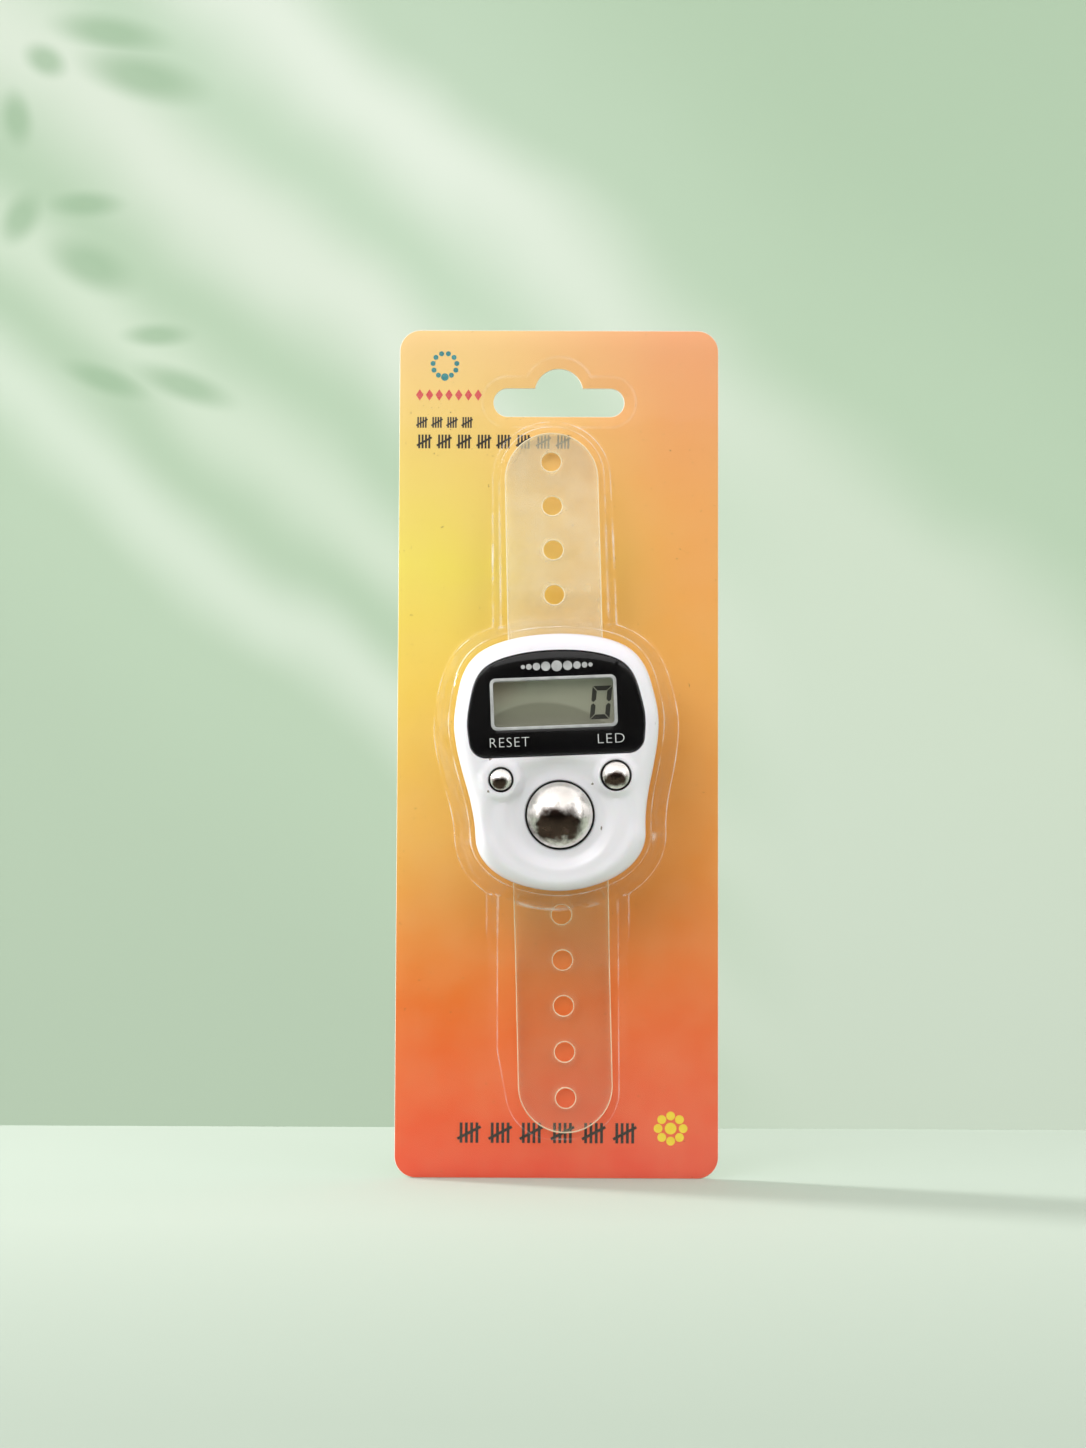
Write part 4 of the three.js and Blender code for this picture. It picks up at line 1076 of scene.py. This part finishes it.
strap = {"width": 15.5, "thick": 1.0, "rise": -4.95, "length": 115.3, "hole": 3.2, "pitch": 7.5, "edge": 0.22,
         "upperHoles": 4, "lowerHoles": 5, "upperStart": 4.9, "lowerStart": 5.7, "endLift": 0.3}
strapTop = strap["rise"] + strap["length"] / 2
strapEnd = strap["rise"] - strap["length"] / 2
bodyTop = body["height"] / 2 - body["below"]
bodyFoot = -body["height"] / 2 - body["below"]


# Under the body it is level with the bridges, and it bows down to the card towards both ends.
def strapLevel(y):
    flat = level["cardFront"] + strap["endLift"]
    upper = 1 - smooth(bodyTop + 6, strapTop - 2, y)
    lower = smooth(bodyFoot - 13, bodyFoot + 1, y)
    return flat + (level["strapBack"] - flat) * np.minimum(upper, lower)


# A long box with ends as round as it is wide.
def strapLoop():
    half = strap["width"] / 2
    corners = [(half, strapEnd), (half, strapTop), (-half, strapTop), (-half, strapEnd)]
    return spaced(arcCorners(corners, half * 0.999, step=0.4), 0.8)


# How far up the holes lie: a pitch apart, from their distances to either end.
def strapHoles():
    upper = [strapTop - strap["upperStart"] - i * strap["pitch"] for i in range(strap["upperHoles"])]
    return upper + [strapEnd + strap["lowerStart"] + i * strap["pitch"] for i in range(strap["lowerHoles"])]


# A little haze all over, more in the upper half as painted light, less below as painted shade, and much along
# the cut edges as painted highlight.
def strapHazeAndPaintedLight(points):
    depth = depthInside(points[:, :2], strapLoop())
    for y in strapHoles():
        depth = np.minimum(depth, np.hypot(points[:, 0], points[:, 1] - y) - strap["hole"] / 2)
    upper = smooth(-20, 25, points[:, 1])
    return 0.016 + 0.2 * upper + 0.55 * (1 - smooth(0.02, 0.26, depth))


# A plate with round edges and nine holes, bent by its level.
def strapPiece():
    half = strap["width"] / 2
    loop = strapLoop()
    places = strapHoles()
    cuts = [circle(0, y, strap["hole"] / 2, 40)[::-1] for y in places]
    field = hexGrid(-half + 0.8, half - 0.8, strapEnd + 1, strapTop - 1, 0.9)
    clear = depthInside(field, loop) > 0.7
    for hole in cuts:
        clear &= depthInside(field, hole[::-1]) < -0.6
    return plate([loop, *cuts], 0, strap["thick"], strap["edge"], field[clear], lambda p: strapLevel(p[:, 1]))


# Calendered soft PVC: mostly see-through, with a thin milky haze in it and a soft, finely pebbled gloss.
def strapMaterial():
    made, tree = newMaterial("clear_soft_pvc")
    normal = grainNormal(tree, 1.25, 4, 0.12, 0.2, 0.7)
    fresnel = sheetFresnel(tree, 1.16, 0.2, normal)
    clear = add(tree, "BsdfTransparent", {"Color": "#ffffff"}).outputs["BSDF"]
    milk = add(tree, "BsdfDiffuse", {"Color": "#fff3d2"}).outputs["BSDF"]
    # The attribute's white is partly real haze and partly painted light, shade and highlight.
    paleShare = add(tree, "Attribute", attribute_name="strapHazeAndPaintedLight").outputs["Fac"]
    factors = {0: paleShare, 1: patches(tree, 4.348, 4, (0.3, 1.7), 0, 1)}
    share = add(tree, "Math", factors, operation="MULTIPLY").outputs[0]
    cloudy = add(tree, "MixShader", {0: share, 1: clear, 2: milk}).outputs["Shader"]
    shine = add(tree, "BsdfGlossy", {"Roughness": 0.15, "Normal": normal}).outputs["BSDF"]
    surface = add(tree, "MixShader", {0: fresnel, 1: cloudy, 2: shine}).outputs["Shader"]
    add(tree, "OutputMaterial", {"Surface": surface})
    return made


makePiece("clear_strap", marked(strapPiece(), strapHazeAndPaintedLight), strapPlace, "pack", strapMaterial(), ["strap"],
          mark="strapHazeAndPaintedLight")

print("Film")

film = {"thick": 0.35, "rim": 0.6, "rimRadius": 0.8, "foot": 3.8, "footRadius": 0.8, "channelRise": 1.85,
        "neck": 1.3, "upperFoot": 1.25, "lowerFoot": 1.9, "slotRing": 1.9}
flangeTop = level["filmBase"] + film["thick"]
bubbleProfile = arcCorners(
    [(-9, level["filmTop"]), (film["rim"], level["filmTop"]), (film["foot"], flangeTop), (12, flangeTop)],
    [0, film["rimRadius"], film["footRadius"], 0], closed=False, step=0.04)


# The channel's upper edge: snug round the strap's ends, wide and straight beside its lower part.
def channelLoop():
    half = strap["width"] / 2 + 0.75
    top = turned(np.array([(half, strapTop + 0.7), (-half, strapTop + 0.7)]), strapPlace[0])
    low = turned(np.array([(-half, strapEnd - 0.7), (half, strapEnd - 0.7)]), strapPlace[0])
    corners = [*top, (-9.3, 5), (-9.7, -15), (-9.6, -49), *low, (9.8, -18), (9.0, 5)]
    radii = [half * 0.98, half * 0.98, 30, 30, 7, half * 0.9, half * 0.9, 30, 30]
    loop = spaced(arcCorners(corners, radii, step=0.3), 0.45)
    return loop + [0, cardMiddle]


channel = channelLoop()
bubbleLoop = turned(bodyLoop, *counterPlace)


# One on the channel's top, falling over a rounded edge and a straight wall to zero at its foot.
def channelShare(outside, foot):
    drop = 4.0
    upper, lower = ((
        arcCorners([(-6, drop), (0, drop), (reach, 0), (9, 0)], [0, 0.5, 0.45, 0], closed=False, step=0.03)
    ) for reach in (film["upperFoot"], film["lowerFoot"]))
    a = np.interp(outside, upper[:, 0], upper[:, 1]) / drop
    b = np.interp(outside, lower[:, 0], lower[:, 1]) / drop
    return a + (b - a) * foot


# The bubble's profile by distance from the body's outline, blended into the channel over the strap.
def filmHeight(points):
    outside = -depthInside(points, bubbleLoop)
    dome = np.interp(outside, bubbleProfile[:, 0], bubbleProfile[:, 1])
    beside = -depthInside(points, channel)
    up = points[:, 1] - cardMiddle
    top = strapLevel(up) + film["channelRise"]
    lowerShare = 1 - smooth(-12, 12, up)
    run = flangeTop + (top - flangeTop) * channelShare(beside, lowerShare)
    gap = np.abs(dome - run)
    return np.maximum(dome, run) + np.maximum(film["neck"] - gap, 0) ** 2 / (4 * film["neck"])


# Height, normal and painted highlight. White is painted where the film folds tightly, by how fast its normal
# turns across the drawing, a little on steep walls as painted reflection, and in a ring round the slot.
def filmShape(points, step=0.08):
    middle = filmHeight(points)
    ends = [[filmHeight(points + way * d) for way in (1, -1)] for d in np.eye(2) * step]
    slope = [(a - b) / (2 * step) for a, b in ends]
    normal = unit(np.stack([-slope[0], -slope[1], np.ones(len(points))], 1))
    bend = [np.arctan((a - middle) / step) - np.arctan((middle - b) / step) for a, b in ends]
    foldHighlight = smooth(1.6, 3.2, np.hypot(*bend) / step) * np.where(bend[0] + bend[1] > 0, 0.55, 0.4)
    steep = smooth(0.2, 0.9, 1 - normal[:, 2])
    ring = np.abs(depthInside(points, slotLoop()) + film["slotRing"])
    return middle, normal, foldHighlight + 0.05 * steep + 0.16 * (1 - smooth(0.05, 0.3, ring))


# Rings along the folds, joined by triangles. The back lies a thickness behind the front, along its normal.
def filmPiece():
    rim, foot = film["rim"], film["foot"]
    rimRings = np.array([-0.78, -0.62, -0.46, -0.32, -0.2, -0.1, -0.03, 0.04, 0.1, 0.16, 0.35])
    levels = [-2.2, -1.1, *(rim + rimRings)]
    levels += [*np.linspace(rim + 0.8, foot - 0.7, 4)]
    levels += [*(foot + np.array([-0.3, -0.15, -0.07, 0, 0.08, 0.18, 0.32, 0.52, 0.82, 1.25]))]
    bodyRings = [grown(bubbleLoop, d) for d in levels]
    channelRings = [grown(channel, s) for s in (
        -1.6, -0.7, -0.35, -0.2, -0.05, 0.1, 0.25, 0.45, 0.7, 0.95, 1.15, 1.3, 1.5, 1.7, 1.9, 2.15, 2.6,
    )]
    outer = roundedBox(card["width"], card["height"], card["corner"], 0, cardMiddle, step=1.0)
    hole = slotLoop()
    slotRings = [grown(hole, film["slotRing"] + d) for d in (-0.4, 0, 0.4)]
    points = np.concatenate([*bodyRings, outer, hole, *slotRings, *channelRings])
    edges = loopEdges([*bodyRings, outer, hole, *slotRings, *channelRings])
    far = -depthInside(points, bubbleLoop) > 0.9
    kept = np.ones(len(points), bool)
    first = len(points) - sum(len(r) for r in channelRings)
    kept[first:] = far[first:]
    edges = edges[kept[edges].all(1)]
    renumbered = np.cumsum(kept) - 1
    points, edges = points[kept], renumbered[edges]
    field = hexGrid(-26, 26, -133, 6, 1.6)
    outside = -depthInside(field, bubbleLoop)
    beside = -depthInside(field, channel)
    clear = ((outside < -2.6) | (outside > 5.4)) & ((beside < -2) | (beside > 3.2) | (outside < -2))
    clear &= (depthInside(field, outer) > 0.7) & (np.abs(depthInside(field, hole) + film["slotRing"]) > 0.8)
    flat, faces = triangles(np.concatenate([points, field[clear]]), edges)
    middle = flat[faces].mean(1)
    faces = faces[(depthInside(middle, outer) > 0) & (depthInside(middle, hole) < 0)]
    height, normal, paleShare = filmShape(flat)
    front = np.column_stack([flat, height])
    back = np.column_stack([front - normal * film["thick"], 0 * paleShare])
    edge = (flangeTop, flangeTop - film["thick"])
    sides = [bands([atHeight(loop, z) for z in edge]) for loop in (outer, hole)]
    sides = marked(sides, lambda p: np.zeros(len(p)))
    return [(np.column_stack([front, paleShare]), faces), (back, faces)] + sides


# The film's white is painted highlight along its folds and round the slot, and painted reflection on its
# steep walls.
clearFilm = clearMaterial("clear_formed_film", "#ffffff", 0.04, 11.111, 0.12, "paintedFilmHighlight")
makePiece("formed_film", filmPiece(), cardPlace, "pack", clearFilm, ["blister"], 60, "paintedFilmHighlight")

print("Finishes of the pieces that stay as the solids have them")

finishes = {
    "rear_shell": whiteAbs, "battery_door": whiteAbs,
    "circuit_board": plainFinish("green_solder_mask", "#1f5f33", "#2c7a42", 2, (0.3, 0.45)),  # lacquered
    "lcd_frame": plainFinish("white_frame_plastic", "#e4e4e0", "#ecece8", 3.3, (0.4, 0.5)),  # moulded, plain
    "rear_reflector": plainFinish("grey_foil", "#a9ac9f", "#b6b9ab", 2.5, (0.3, 0.4), metallic=0.5),  # rolled
    "lcd_glass": plainFinish("grey_glass", "#7b7c6e", "#858676", 5, (0.05, 0.12)),  # ground, very smooth
    "front_polarizer": displayGrey,
    "zebra_strip": plainFinish("striped_rubber", "#4b4c50", "#9ea0a4", 0.33, (0.6, 0.8)),  # layered, dull
    "chip_blob": plainFinish("black_epoxy", "#101011", "#1a1a1b", 1.4, (0.25, 0.4)),  # poured, half glossy
    "clock_resistor": plainFinish("dark_ceramic", "#26272b", "#34353a", 0.67, (0.4, 0.6)),  # fired
    "supply_capacitor": plainFinish("tan_ceramic", "#b99c6d", "#c6aa7c", 0.67, (0.4, 0.6)),  # fired
    "display_led_left": plainFinish("yellow_led_resin", "#efe7a8", "#f4eebd", 1.7, (0.15, 0.25)),  # cast
    "count_cup": plainFinish("grey_key_rubber", "#8f9497", "#a1a5a8", 2, (0.6, 0.75)),  # moulded, matt
    "button_cell_left": plainFinish("cell_steel", "#b4b6b9", "#c6c8ca", 1.1, (0.2, 0.35), 1.0),  # drawn
    "battery_minus_contact": plainFinish("tinned_strip", "#c3c1b8", "#d2d0c8", 1.1, (0.25, 0.4), 1.0),
    "battery_door_screw": plainFinish("zinc_screw_steel", "#8e9094", "#a5a7aa", 0.9, (0.3, 0.45), 1.0),
}
same = {
    "led_resistor": "clock_resistor", "display_led_right": "display_led_left", "reset_cup": "count_cup",
    "led_cup": "count_cup", "button_cell_right": "button_cell_left",
    "battery_plus_contact": "battery_minus_contact", "battery_bridge": "battery_minus_contact",
    "shell_screw_top_left": "battery_door_screw", "shell_screw_top_right": "battery_door_screw",
    "shell_screw_low_left": "battery_door_screw", "shell_screw_low_right": "battery_door_screw",
}
for name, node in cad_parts.items():
    finish = finishes.get(same.get(name, name))
    if finish:
        node.data.materials.clear()
        node.data.materials.append(finish)

# Each rubber cup, listed with its key's joint and travel, gets a mesh of its own.
cups = {"count_cup": ("count_press", 0.8), "reset_cup": ("reset_press", 0.5), "led_cup": ("led_press", 0.5)}
for name, (joint, travel) in cups.items():
    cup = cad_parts[name]
    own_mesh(cup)
